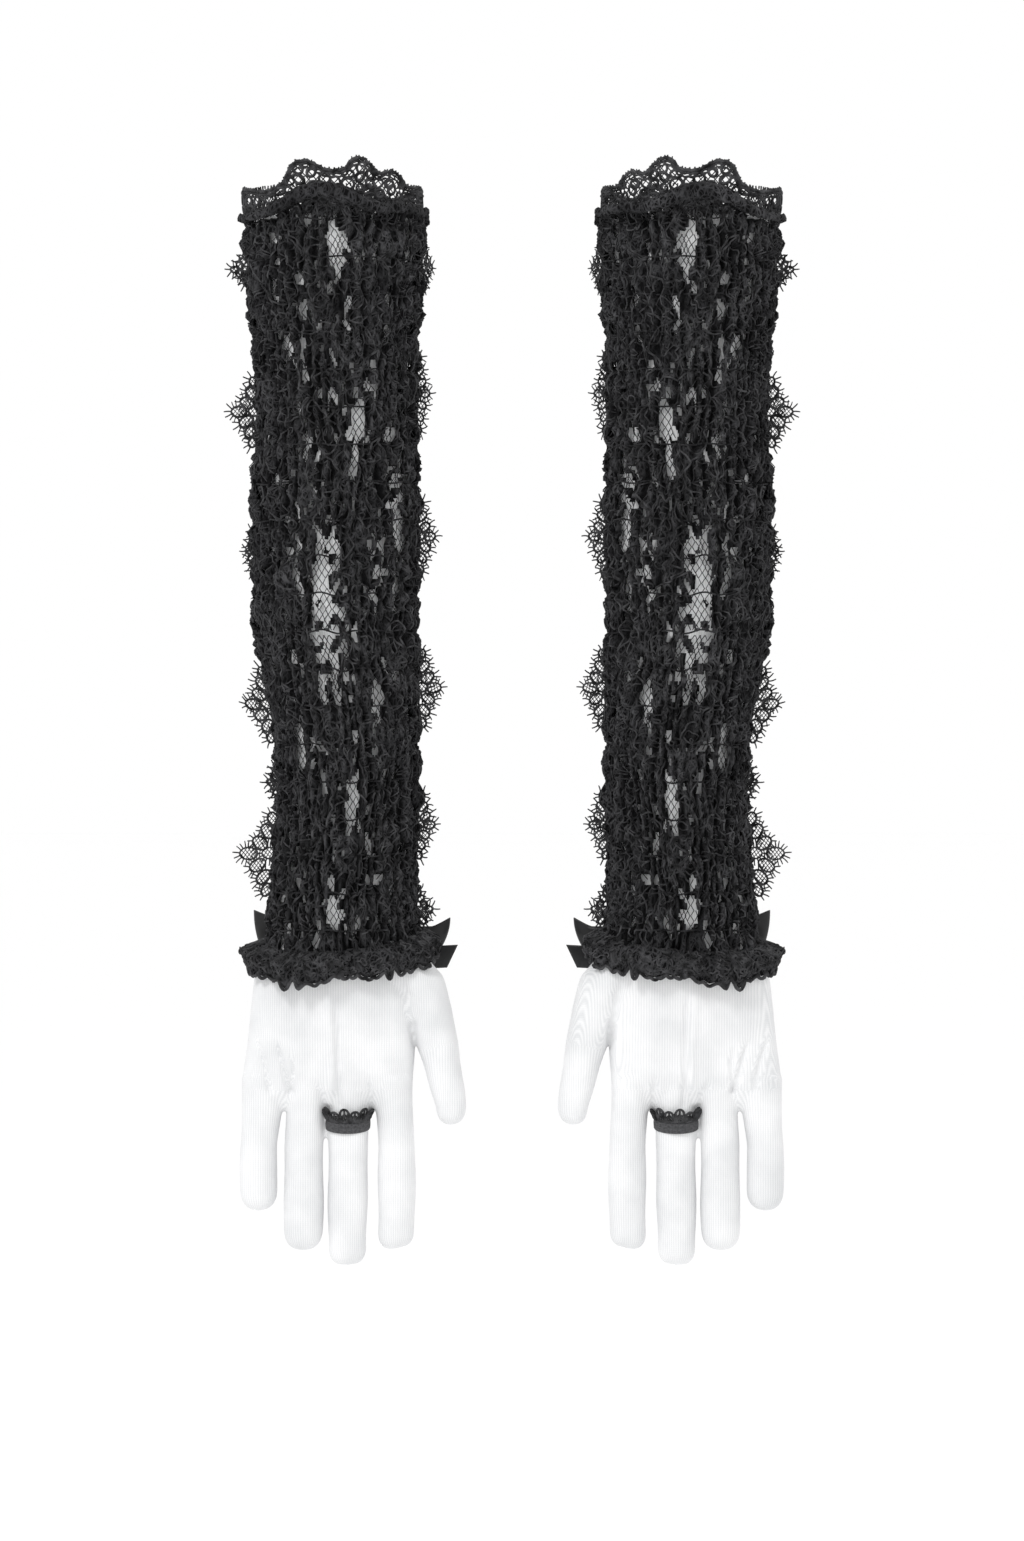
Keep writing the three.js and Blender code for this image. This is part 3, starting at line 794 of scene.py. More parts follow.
def motif_lines(top, bottom):
    """All motif cords whose middle lies between two heights."""
    draw = np.random.RandomState(33)
    across = int(round(TAU * MEAN_RADIUS / MOTIF_PITCH[0]))
    lines = []
    for row, middle in enumerate(np.arange(-8, HEM + 2, -MOTIF_PITCH[1] / 2)):
        for column in range(across):
            angle0 = (column + 0.5 * (row % 2)) * TAU / across + draw.normal(0, STRAY[0])
            z0 = middle + draw.normal(0, STRAY[1])
            turn, size = draw.uniform(0, TAU), draw.uniform(0.8, 1.2)
            if row % 2:
                shapes, turn = leaf(LEAF[0] * size, LEAF[1] * size), draw.normal(0, 0.5)
            else:
                shapes = flower(FLOWER_RADIUS * size, draw.choice((5, 6)))
            if not bottom < z0 <= top:
                continue
            for points, thickness, closed in shapes:
                flat = resample(spun(points, turn), closed)
                z = z0 + flat[:, 1]
                angle = angle0 + flat[:, 0] * SQUEEZE / MEAN_RADIUS
                z = z + WRIGGLE_ALONG * wriggle_along(angle, z)
                angle = angle + WRIGGLE * wriggle(angle, z) / MEAN_RADIUS
                z = np.clip(z, HEM + 1, SLEEVE_TOP)
                keep = openness(angle, z) < UNDER_THE_EDGE
                laid = on_sleeve(angle, z, relief(angle, z) - CORD_LIFT)
                lines.extend(runs(laid, keep, thickness, closed))
    return lines


def runs(points, keep, thickness, closed):
    """The stretches of a line that are kept."""
    if keep.all():
        return [(points, thickness, closed)]
    if not keep.any():
        return []
    if closed:
        shift = int(np.argmin(keep))
        points, keep = np.roll(points, -shift, axis=0), np.roll(keep, -shift)
    found, run = [], []
    for k, wanted in enumerate(list(keep) + [False]):
        if wanted:
            run.append(k)
        elif run:
            if len(run) > 2:
                found.append((points[run], thickness, False))
            run = []
    return found


# %% [markdown]
# ## Rows of elastic
# Each row is one thin elastic thread that runs right round the sleeve in the groove it makes.

# %% Elastic threads
ELASTIC_RADIUS = 0.45
ELASTIC_POINTS = 110
ELASTIC_WAVER, ELASTIC_LIFT = 0.5, 0.1  # mm
waver = Ripple(41, 18, 400)


def elastic_lines(top, bottom):
    angles = np.arange(ELASTIC_POINTS) * TAU / ELASTIC_POINTS
    lines = []
    for z0 in ROWS:
        if bottom < z0 <= top:
            z = z0 + ELASTIC_WAVER * waver(angles, z0)
            bare = openness(angles, z) > 0
            inward = np.where(bare, NET_DEPTH, relief(angles, z) - ELASTIC_LIFT)
            lines.append((on_sleeve(angles, z, inward), 1.0, True))
    return lines


# %% Lay net, cords and elastic on both gloves
EDGES = {"upper": (0, SPLIT), "lower": (SPLIT, HEM)}
for length, (top, bottom) in EDGES.items():
    made = {
        "net": (net_lines(top, bottom), NET_RADIUS, 4, NET, "lace"),
        "motif_cords": (motif_lines(top, bottom), CORD_RADIUS, 4, CORD, "lace"),
        "elastic_rows": (elastic_lines(top, bottom), ELASTIC_RADIUS, 5, NET, "elastic"),
    }
    for name, (lines, radius, sides, material, slot) in made.items():
        print(length, name, len(lines), "threads with", sum(len(line[0]) for line in lines), "points")
        for side in MIRROR:
            piece = thread_object(f"{name}_{length}", side, lines, radius, sides, material)
            if name == "elastic_rows":
                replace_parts(piece, f"{side}_shirring_elastics")
            attach(piece, side, length)

# %% [markdown]
# ## The white knit forearm
# A plain fine-knit tube inside the lace. It shows white through the net, and at the arm opening.

# %% Knit tube inside the sleeve
KNIT_INSET = 5.6
KNIT_THICKNESS = 0.8
KNIT_TOP, KNIT_BOTTOM = -7, -352
KNIT_COLUMNS, KNIT_ROWS = 96, 90


def ring_faces(rows, columns):
    """Quads of a closed grid of rings, first ring on top."""
    return [[i * columns + j, (i + 1) * columns + j, (i + 1) * columns + (j + 1) % columns,
             i * columns + (j + 1) % columns] for i in range(rows - 1) for j in range(columns)]


def knit_forearm():
    angles = np.arange(KNIT_COLUMNS) * TAU / KNIT_COLUMNS
    heights = np.linspace(KNIT_TOP, KNIT_BOTTOM, KNIT_ROWS)
    angle, z = np.meshgrid(angles, heights)
    soft = 0.25 * strength(angle, z)
    outer = on_sleeve(angle, z, KNIT_INSET + soft).reshape(-1, 3)
    inner = on_sleeve(angle, z, KNIT_INSET + soft + KNIT_THICKNESS).reshape(-1, 3)
    points, faces, used = walled(outer, inner, ring_faces(KNIT_ROWS, KNIT_COLUMNS))
    cloth = np.c_[angle.ravel() * MEAN_RADIUS, z.ravel()]
    return points, faces, np.vstack((cloth, cloth))[used]


points, faces, cloth = knit_forearm()
for side in MIRROR:
    piece = cloth_object("knit_forearm_tube", side, points, faces, KNIT, cloth=cloth)
    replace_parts(piece, f"{side}_knit_forearm")
    bend_at_wrist(piece)
print("knit tube has", len(faces), "faces")

# %% [markdown]
# ## The white knit hand
# A knit glove is one soft surface with no hard corner between palm and fingers. So the palm, the four
# fingers and the thumb are first made as simple closed tubes, then voxel remeshing melts them into one skin,
# and smoothing rounds the places where they meet. The creases of the cloth are pressed in afterwards.
# At the end the skin is cut where the fingers begin.

# %% Sections of the hand: height, little-finger edge, thumb edge and half depth
PALM = [
    (-350, -25.0, 35.5, 16.0),
    (-358, -27.0, 37.5, 16.5),
    (-364, -31.5, 41.0, 17.5),
    (-369, -36.0, 43.0, 18.3),
    (-376, -38.3, 42.5, 18.4),
    (-392, -40.6, 40.2, 17.0),
    (-409, -42.2, 39.2, 14.6),
    (-421, -43.6, 39.3, 12.4),
    (-430, -44.2, 39.2, 9.6),
    (-436, -43.2, 38.0, 6.6),
    (-440, -40.0, 36.0, 3.4),
]
THUMB = [
    (-356, 18.0, 37.0, 13.0),
    (-366, 21.0, 45.6, 14.5),
    (-375, 25.0, 53.4, 15.0),
    (-391, 33.0, 58.4, 13.0),
    (-408, 40.6, 61.0, 10.6),
    (-428, 47.0, 63.6, 8.8),
    (-439, 49.8, 64.4, 8.0),
]
THUMB_TIP = -447.6
FINGERS = {  # edges at the root, edges near the tip, half depth and tip
    "little": (-44.3, -24.2, -45.4, -27.0, 8.4, -489.0),
    "ring_finger": (-21.8, -4.0, -24.2, -4.8, 9.0, -508.6),
    "middle": (-2.6, 17.4, -2.4, 16.8, 8.7, -516.6),
    "index": (19.8, 39.4, 21.6, 39.8, 8.5, -508.4),
}
PALM_SQUARE, THUMB_SQUARE, FINGER_SQUARE = 2.6, 2.1, 2.2  # 2 is an ellipse, higher is squarer
FINGER_TOP = -424
TAPER_TOP = -432  # a finger has its root's width above this
FINGER_STATIONS = (-430, -438, -447)
FINGER_STRAIGHT = -458  # below this a finger keeps its width until the round tip
TIP_BLUNT = 2.3
SECTION_SIDES = 40


# %% Closed tubes from the sections
def closed_tube(sections, square):
    """A closed body from (height, left edge, right edge, half depth) sections, top to bottom."""
    turn = np.arange(SECTION_SIDES) * TAU / SECTION_SIDES
    round_x = np.sign(np.cos(turn)) * np.abs(np.cos(turn)) ** (2 / square)
    round_y = np.sign(np.sin(turn)) * np.abs(np.sin(turn)) ** (2 / square)
    rings = [np.c_[(l + r) / 2 + (r - l) / 2 * round_x, depth * round_y, np.full(SECTION_SIDES, z)]
             for z, l, r, depth in sections]
    faces = ring_faces(len(sections), SECTION_SIDES)
    points = np.vstack(rings)
    top, bottom = len(points), len(points) + 1
    first, last = sections[0], sections[-1]
    points = np.vstack((points, [((first[1] + first[2]) / 2, 0, first[0]),
                                 ((last[1] + last[2]) / 2, 0, last[0])]))
    low = (len(sections) - 1) * SECTION_SIDES
    for j in range(SECTION_SIDES):
        k = (j + 1) % SECTION_SIDES
        faces.append([top, j, k])
        faces.append([bottom, low + k, low + j])
    return points, faces


def with_tip(sections, tip, steps=9):
    """Adds a blunt round end below the last section."""
    z0, left, right, depth = sections[-1]
    reach = z0 - tip
    done = list(sections)
    for share in np.linspace(0, 1, steps + 1)[1:]:
        size = max(1 - share ** TIP_BLUNT, 0.0) ** (1 / TIP_BLUNT)
        middle, half = (left + right) / 2, (right - left) / 2 * size
        done.append((z0 - reach * share, middle - half, middle + half, depth * size))
    return done


def finger_sections(name):
    l0, r0, l1, r1, depth, tip = FINGERS[name]
    blunt = (r1 - l1) * 0.52
    heights = [FINGER_TOP, *FINGER_STATIONS, FINGER_STRAIGHT, tip + blunt]
    share = [min(max((z - TAPER_TOP) / (FINGER_STRAIGHT - TAPER_TOP), 0), 1) for z in heights]
    deep = np.interp(heights, (-460, -445, -432, -420), (depth, depth + 0.3, depth + 1.3, depth + 2.6))
    return with_tip([(z, l0 + (l1 - l0) * s, r0 + (r1 - r0) * s, d)
                     for z, s, d in zip(heights, share, deep)], tip)


def merged(bodies):
    points, faces, first = [], [], 0
    for body_points, body_faces in bodies:
        points.append(body_points)
        faces += [[first + i for i in face] for face in body_faces]
        first += len(body_points)
    return np.vstack(points), faces


# %% Melt the tubes into one skin
VOXEL = 0.98  # mm
SMOOTH_STEPS = 13


def melted(points, faces):
    """Voxel remesh and smoothing of overlapping closed bodies: points and quads in millimetres."""
    mesh = bpy.data.meshes.new("hand_form")
    mesh.from_pydata(points.tolist(), [], faces)
    form = bpy.data.objects.new("hand_form", mesh)
    bpy.context.collection.objects.link(form)
    remesh = form.modifiers.new("melt", "REMESH")
    remesh.mode = "VOXEL"
    remesh.voxel_size = VOXEL
    smooth = form.modifiers.new("soften", "SMOOTH")
    smooth.factor = 0.5
    smooth.iterations = SMOOTH_STEPS
    bpy.context.view_layer.update()
    result = bpy.data.meshes.new_from_object(form.evaluated_get(bpy.context.evaluated_depsgraph_get()))
    bpy.data.objects.remove(form)
    out = np.empty(len(result.vertices) * 3, np.float32)
    result.vertices.foreach_get("co", out)
    quads = [list(polygon.vertices) for polygon in result.polygons]
    bpy.data.meshes.remove(result)
    return out.reshape(-1, 3).astype(float), quads


def point_normals(points, faces):
    """Area-weighted directions of the points of a mesh of quads."""
    corner = points[np.array(faces)]
    face_normal = np.cross(corner[:, 2] - corner[:, 0], corner[:, 3] - corner[:, 1])
    total = np.zeros_like(points)
    for k in range(4):
        np.add.at(total, np.array(faces)[:, k], face_normal)
    return total / np.maximum(np.linalg.norm(total, axis=1, keepdims=True), 1e-9)


tubes = [closed_tube(PALM, PALM_SQUARE), closed_tube(with_tip(THUMB, THUMB_TIP), THUMB_SQUARE)]
tubes += [closed_tube(finger_sections(name), FINGER_SQUARE) for name in FINGERS]
SKIN, QUADS = melted(*merged(tubes))
print("the skin of the hand has", len(QUADS), "quads")

# %% [markdown]
# ## Creases
# The empty-looking knit falls into a few soft folds between the fingers and the wrist. Each fold is a line
# on the palm with a width and a depth. Points near the line are moved along their own direction.

# %% Press the creases into the palm
CREASES = [  # points (x, z) on the palm's side, half width and depth; a negative depth is a ridge
    ([(-37.6, -403), (-33.5, -416), (-30.0, -430)], 1.5, 1.3),
    ([(-28.0, -405), (-24.0, -417), (-20.5, -431)], 1.5, 1.7),
    ([(-20.0, -408), (-19.0, -420), (-20.3, -431)], 1.3, 1.3),
    ([(0.6, -372), (2.6, -392), (3.4, -415), (3.6, -437)], 1.5, 1.3),
    ([(-3.0, -371), (-1.5, -392), (0.6, -414), (-1.4, -436)], 1.9, -1.0),
    ([(-8.5, -424), (-5.0, -434), (-3.4, -441)], 1.5, 1.1),
    ([(18.0, -422), (18.4, -434), (19.0, -441)], 1.3, 1.0),
    ([(38.6, -394), (39.0, -402), (39.6, -409)], 1.6, 1.6),
    ([(26, -371), (30, -378), (36, -384)], 3.2, 0.9),
]
PALM_NOISE = 0.35  # mm of general unevenness
PALM_NOISE_WIDTH = 15  # mm
CREASE_FADE = 3.5  # higher makes a crease reach its full depth sooner
uneven = Ripple(51, 5, 30)


def line_distance(points, line):
    """Distance in x and z to a polyline, and how far from the line's ends the nearest place is (0 to 1)."""
    line = np.array(line, float)
    best, near = np.full(len(points), 1e9), np.zeros(len(points))
    for k, (a, b) in enumerate(zip(line[:-1], line[1:])):
        along = np.clip(((points - a) @ (b - a)) / ((b - a) @ (b - a)), 0, 1)
        distance = np.linalg.norm(points - (a + along[:, None] * (b - a)), axis=1)
        closer = distance < best
        best[closer] = distance[closer]
        near[closer] = ((k + along) / (len(line) - 1))[closer]
    return best, near


def creased(points, faces):
    normals = point_normals(points, faces)
    flat = points[:, [0, 2]]
    front = np.clip(-normals[:, 1] * 1.6, 0, 1)  # 1 on the palm's side, 0 on the back
    move = PALM_NOISE * uneven(points[:, 0] / PALM_NOISE_WIDTH, points[:, 2])
    for line, width, depth in CREASES:
        distance, near = line_distance(flat, line)
        fade = np.clip(CREASE_FADE * near, 0, 1)
        move = move - front * fade * depth * np.exp(-(distance / width) ** 2)
    return points + normals * move[:, None]


SKIN = creased(SKIN, QUADS)
SKIN_NORMALS = point_normals(SKIN, QUADS)

# %% [markdown]
# ## Cutting the skin at the fingers
# The stitches' pattern is stored on the corners of the faces, as millimetres round and along each finger,
# so that it doesn't swim or stretch on the sides. The pieces share their edge points and the direction of
# light on them, so no seam shows while the hand is at rest.

# %% Pieces of the hand
KNIT_OPEN = -352.5
ROOTS = -430
BENDS = (-440, -453)  # heights between which a finger would bend; they are passed on but not used
RING_BENDS = (-434, -446)  # the middle finger's bend lies higher, under its ring; passed on but not used
THUMB_ROOT = np.array((50.4, -409.0))
THUMB_LEAN = math.radians(13.2)
THUMB_WAY = np.array((math.sin(THUMB_LEAN), -math.cos(THUMB_LEAN)))
THUMB_BENDS = (2, 14)  # mm beyond the thumb's root between which it would bend; passed on but not used
SKIN_WALL = 0.8
PALM_HALF_DEPTH = 17


def region_of(middle):
    """Which piece each face belongs to, from the middles of the faces."""
    x, z = middle[:, 0], middle[:, 2]
    beside_thumb = x > 39.9 + 0.16 * np.clip(-408 - z, 0, None)
    beyond = (np.c_[x, z] - THUMB_ROOT) @ THUMB_WAY > 0
    names = np.full(len(middle), "hand", dtype=object)
    names[z > KNIT_OPEN] = "none"
    low = (z < ROOTS) & ~beside_thumb
    little_edge = np.interp(z, (-459, -430), (-25.3, -21.2))
    names[low & (x <= little_edge)] = "little"
    names[low & (x > little_edge)] = "ring_finger"
    names[low & (x > -3.4)] = "middle"
    names[low & (x > 19.4)] = "index"
    names[beside_thumb & beyond] = "thumb"
    return names


def wrapped_cloth(points, faces, centre, radius):
    """Millimetres round and along a piece for each corner of each face.

    A finger is a tube. The hand is flat, with the stitches' columns carried on round its sides.
    """
    if radius is None:
        sideways = point_normals(points, faces)[:, 0]
        across = points[:, 0] + sideways * np.abs(sideways) * (PALM_HALF_DEPTH - np.abs(points[:, 1]))
        order = np.concatenate(faces)
        return np.c_[across[order], points[order, 2], np.zeros(len(order))]
    turn = np.arctan2(points[:, 1], points[:, 0] - centre)
    corners = []
    for face in faces:
        angles = turn[face]
        if angles.max() - angles.min() > math.pi:
            angles = np.where(angles < 0, angles + TAU, angles)
        corners.append(np.c_[angles * radius, points[face, 2], np.zeros(len(face))])
    return np.vstack(corners)


quad_array = np.array(QUADS)
REGIONS = region_of(SKIN[quad_array].mean(axis=1))
PIECE_CENTRES = {"hand": (0, None), "thumb": (55, 9), "little": (-35, 9.3), "ring_finger": (-14, 9.8),
                 "middle": (7, 9.5), "index": (30.5, 9.2)}


def hand_piece(name, side):
    faces = quad_array[REGIONS == name].tolist()
    points, closed, used = walled(SKIN, SKIN - SKIN_WALL * SKIN_NORMALS, faces)
    normals = np.vstack((SKIN_NORMALS, -SKIN_NORMALS))[used]
    piece = cloth_object(f"knit_{name}_skin", side, points, closed, KNIT, normals=normals)
    centre, radius = PIECE_CENTRES[name]
    turned = [face[::-1] for face in closed] if MIRROR[side] < 0 else closed
    corners = wrapped_cloth(points, turned, centre, radius)
    layer = piece.data.attributes.new("cloth", "FLOAT_VECTOR", "CORNER")
    layer.data.foreach_set("vector", corners.astype(np.float32).ravel())
    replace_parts(piece, f"{side}_knit_{name}")
    return piece


def frame_point(side, x, y, z):
    return tuple(place([(x, y, z)], side)[0])


for side in MIRROR:
    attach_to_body(hand_piece("hand", side), f"{side}_hand")
    for name in FINGERS:
        middle = PIECE_CENTRES[name][0]
        upper, lower = RING_BENDS if name == "middle" else BENDS
        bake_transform(hand_piece(name, side), f"{side}_hand", f"{side}_{name}",
                 start=frame_point(side, middle, 0, upper), end=frame_point(side, middle, 0, lower))
    start, end = (THUMB_ROOT + beyond * THUMB_WAY for beyond in THUMB_BENDS)
    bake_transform(hand_piece("thumb", side), f"{side}_hand", f"{side}_thumb",
             start=frame_point(side, start[0], 0, start[1]), end=frame_point(side, end[0], 0, end[1]))
print("hand pieces:", {name: int((REGIONS == name).sum()) for name in PIECE_CENTRES})

# %% [markdown]
# ## Frills
# A frill is a narrow band of the same lace, gathered along one edge, with a rolled hem. Both frills are made
# by one function: a profile that gives how far out and how high the cloth lies, from the gathered edge to the
# hem, and ruffles that grow towards the hem.

# %% A ruffled band round the arm
FRILL_COLUMNS = 260
FRILL_ROWS = 13
FRILL_WALL = 0.9
FRILL_WIDTH = 15  # mm from the gathers to the hem


def band_sheet(at):
    """A band of cloth round the arm. at(angle, share) gives points, share 0 at the gathers, 1 at the hem."""
    angles = np.arange(FRILL_COLUMNS) * TAU / FRILL_COLUMNS
    angle, share = np.meshgrid(angles, np.linspace(0, 1, FRILL_ROWS))
    outer = at(angle, share).reshape(-1, 3)
    faces = ring_faces(FRILL_ROWS, FRILL_COLUMNS)
    normals = point_normals(outer, faces)
    return walled(outer, outer - FRILL_WALL * normals, faces)


def band_cords(at, seed, rosettes, size):
    """Small corded rosettes on a band."""
    draw = np.random.RandomState(seed)
    lines = []
    t = np.linspace(0, TAU, 26, endpoint=False)
    for _ in range(rosettes):
        turn, middle = draw.uniform(0, TAU), draw.uniform(0.05, 0.95)
        r = draw.uniform(0.6, 1.15) * size
        lobes = r * (0.75 + 0.3 * np.cos(draw.choice((3, 4, 5)) * t + draw.uniform(0, TAU)))
        angle = turn + lobes * np.cos(t) * 0.8 / MEAN_RADIUS
        share = np.clip(middle + lobes * np.sin(t) / FRILL_WIDTH, 0, 1)
        lines.append((at(angle, share, CORD_LIFT), draw.uniform(0.7, 1.0), True))
    return lines


# %% The wrist frill's shape
sleeve_bottom = section(-356)
HEM_OVAL = (3.6, 46.2, 27.2)  # centre, half width and half depth of the wrist frill's hem
FRILL_TOP, FRILL_HEM = -353.5, -364.5  # heights at the sleeve's sides
FRILL_SLANT = 3.0  # higher by this on the thumb's side and lower on the other
FRILL_SAG, HEM_SAG = 8.0, 11.0  # how far the frill's two edges hang lower in the middle
ruffle = Ripple(61, 24, 500, least=10)
ruffle_slow = Ripple(62, 9, 500, least=3)
hem_nick = Ripple(63, 44, 500, least=12)


def wrist_frill_at(angle, share, lift=0.0):
    angle, share = np.broadcast_arrays(angle, share)
    spread = np.clip(share / 0.4, 0, 1) ** 0.8
    centre, a, b = (top + (low - top) * spread for top, low in zip(sleeve_bottom, HEM_OVAL))
    middle = np.abs(np.sin(angle)) ** 0.8  # 1 in the middle of the palm's side and of the back
    start = FRILL_TOP + FRILL_SLANT * np.cos(angle) - FRILL_SAG * middle
    end = FRILL_HEM + FRILL_SLANT * np.cos(angle) - HEM_SAG * middle
    end = end - 1.1 * hem_nick(angle, 0) - 0.9 * ruffle_slow(angle, 0)
    z = start + (end - start) * share
    out = spread * (1.3 * ruffle(angle, 0) + 1.1 * ruffle_slow(angle, 0)) + 1.6 * np.sin(math.pi * share)
    out = out - 1.5 * (1 - spread) - 3.0 * np.clip(share - 0.7, 0, 1)
    out = out + 0.5 * lump(angle, z) + lift
    return np.stack((centre + (a + out) * np.cos(angle), (b + out) * np.sin(angle), z), axis=-1)


# %% The turned lip at the arm opening
LIP = np.array([  # height of the turned lip on the palm's side, by x
    (-46, -9), (-38, -9), (-30, -7.5), (-23, -3.5), (-17, 2.0), (-8, 4.6), (0, 4.6), (8, 1.6),
    (15, -2.6), (23, -5.0), (32, -4.0), (39, -4.0), (47, -8.5)])
lip_wave = Ripple(64, 7, 500, least=2)
lip_fine = Ripple(65, 62, 500, count=24, least=22)
lip_bulge = Ripple(68, 20, 500, least=6)


def lip_height(angle):
    centre, a, _ = section(0.0)
    front = np.interp(centre + a * np.cos(angle), LIP[:, 0], LIP[:, 1])
    back = -1.5 + 3.5 * lip_wave(angle, 0) - 6.0 * np.clip(-np.cos(angle) * 2.5 - 1.2, 0, 1)
    share = 0.5 - 0.5 * np.clip(np.sin(angle) / 0.35, -1, 1)
    return back + (front - back) * share


ROLL = np.array([  # share, out and up from the lip: a hanging part, a roll and the turned-in edge
    (0.00, -1.6, -2.6), (0.20, 1.6, -3.4), (0.42, 3.9, -2.6), (0.62, 4.4, -0.6), (0.76, 3.2, 1.3),
    (0.88, 1.4, 2.2), (1.00, -0.8, 1.2)])


def top_frill_at(angle, share, lift=0.0):
    angle, share = np.broadcast_arrays(angle, share)
    centre, a, b = section(0.0)
    full = np.sin(math.pi * share)
    ruffled = 0.55 * lip_fine(angle, 0) + 0.5 * lip_bulge(angle, 0)
    out = np.interp(share, ROLL[:, 0], ROLL[:, 1]) + full * ruffled
    z = np.interp(share, ROLL[:, 0], ROLL[:, 2]) * (0.5 + 0.5 * np.abs(np.sin(angle)))
    z = z + lip_height(angle) * (0.6 + 0.4 * share) + 0.4 * lump(angle, 40 * share)
    out = out * (0.2 + 0.8 * np.abs(np.sin(angle))) + 0.5 + lift
    return np.stack((centre + (a + out) * np.cos(angle), (b + out) * np.sin(angle), z), axis=-1)


# %% Make both frills
around = np.arange(420) * TAU / 420
scallop = 1.2 * np.abs(np.sin(29 * around + 1.5 * ruffle_slow(around, 0))) ** 0.7
wrist_hem = wrist_frill_at(around, 1.0)
wrist_hem[:, 2] -= scallop
frill_cords = {
    "wrist_frill": band_cords(wrist_frill_at, 66, 190, 2.8) + [(wrist_hem, 2.0, True)],
    "top_frill": band_cords(top_frill_at, 67, 110, 2.1) + [(top_frill_at(around, 0.99), 1.3, True)],
}
for name, at, body in (("wrist_frill", wrist_frill_at, "hand"), ("top_frill", top_frill_at, "arm")):
    points, faces, _ = band_sheet(at)
    for side in MIRROR:
        cloth = cloth_object(f"{name}_cloth", side, points, faces, LACE_CLOTH)
        cords = thread_object(f"{name}_cords", side, frill_cords[name], CORD_RADIUS, 5, CORD)
        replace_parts(cloth, f"{side}_{name}")
        for piece in (cloth, cords):
            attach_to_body(piece, f"{side}_{body}")
    print(name, "has", len(faces), "faces and", len(frill_cords[name]), "cords")

# %% [markdown]
# ## Lace edges
# The lace is open along the edge that stands up at the arm opening and in the points that show at both sides
# of the sleeve. Each is drawn flat, as outlines, a fill of crossed threads and a fringe of short lashes.
# Then it is bent to where it is sewn on.


# %% Drawing lace flat
def crossed_fill(outline, pitch, radius_share, turn=0.0):
    """Two sets of slanting threads inside a closed flat outline."""
    lines = []
    for slope in (math.radians(52) + turn, math.radians(-52) + turn):
        way = np.array((math.cos(slope), math.sin(slope)))
        across = np.array((-way[1], way[0]))
        offset = outline @ across
        for level in np.arange(offset.min() + pitch / 2, offset.max(), pitch):
            crossings = []
            for a, b in zip(outline, np.roll(outline, -1, axis=0)):
                da, db = a @ across - level, b @ across - level
                if (da < 0) != (db < 0):
                    crossings.append((a + (b - a) * da / (da - db)) @ way)
            crossings.sort()
            for low, high in zip(crossings[::2], crossings[1::2]):
                if high - low > 0.5:
                    ends = np.array([way * low + across * level, way * high + across * level])
                    steps = np.linspace(0, 1, max(int((high - low) / 2.2), 1) + 1)[:, None]
                    lines.append((ends[0] + (ends[1] - ends[0]) * steps, radius_share, False))
    return lines


def oval(centre, size, turn=0.0, points=22):
    t = np.linspace(0, TAU, points, endpoint=False)
    flat = np.c_[size[0] / 2 * np.cos(t), size[1] / 2 * np.sin(t)]
    return spun(flat, turn) + centre


LASH_THICKNESS = 0.8 * np.array((1.0, 0.95, 0.9, 0.75))  # from its foot to its tip


def lashes(outline, pitch, length, draw, keep):
    """Short threads that stand out of a closed outline where keep(point, direction) says so."""
    even = resample(outline, True, pitch)
    middle = outline.mean(axis=0)
    lines = []
    for k, point in enumerate(even):
        tangent = even[(k + 1) % len(even)] - even[k - 1]
        out = np.array((tangent[1], -tangent[0])) / max(np.linalg.norm(tangent), 1e-6)
        if out @ (point - middle) < 0:
            out = -out
        if not keep(point, out):
            continue
        lean = draw.normal(0, 0.10)
        tip = out * length * draw.uniform(0.75, 1.15)
        tip = tip + np.array((-out[1], out[0])) * lean * length
        s = np.linspace(0, 1, 4)[:, None]
        bow = 0.22 * length * draw.normal() * (s * (1 - s)) * np.array((-out[1], out[0]))
        lines.append((point + tip * s + bow, LASH_THICKNESS, False))
    return lines


# %% [markdown]
# ## The points along the sleeve's sides
# Each point is a group of petals: a net fill inside a thick cord, and lashes all round. They are the
# scalloped edges of the lace panel on the back of the sleeve, and they show past it on both sides.

# %% One scallop, drawn flat: u outwards from the sleeve, v along it
PETALS = [  # centre u, v, size along and across, turn in degrees
    (8.6, 0.4, 7.4, 5.0, 4),
    (5.0, 4.8, 7.0, 4.8, 34),
    (5.2, -4.6, 7.0, 4.8, -30),
    (1.6, 0.6, 6.0, 4.6, 0),
    (2.8, 9.8, 6.8, 4.6, 48),
    (2.9, -9.6, 6.8, 4.6, -50),
    (1.5, 15.2, 5.6, 4.0, 64),
    (1.5, -15.0, 5.6, 4.0, -64),
]
LASH_LENGTH = 3.3
LASH_PITCH = 1.25


def scallop_lines(scale, reach, seed):
    """The lines of one scallop. reach stretches it outwards."""
    draw = np.random.RandomState(seed)
    lines = []
    for u, v, along, across, turn in PETALS:
        size = min(max(math.sqrt(reach * scale), 0.6), 1.2)
        middle = (u * reach + 0.4, v * scale)
        shape = oval(middle, (along * size, across * size), math.radians(turn))
        lines.append((resample(shape, True, 1.4), 1.2, True))
        lines += crossed_fill(shape, 1.45, 0.45, 0.12 * draw.normal())
        lines += lashes(shape, LASH_PITCH, LASH_LENGTH, draw,
                        lambda point, out: out[0] > -0.1 and point[0] > 1.5)
    base = np.linspace(-19, 19, 24) * scale
    lines.append((np.c_[0.3 + 0.35 * np.cos(base * 1.3), base], 1.0, False))
    return lines


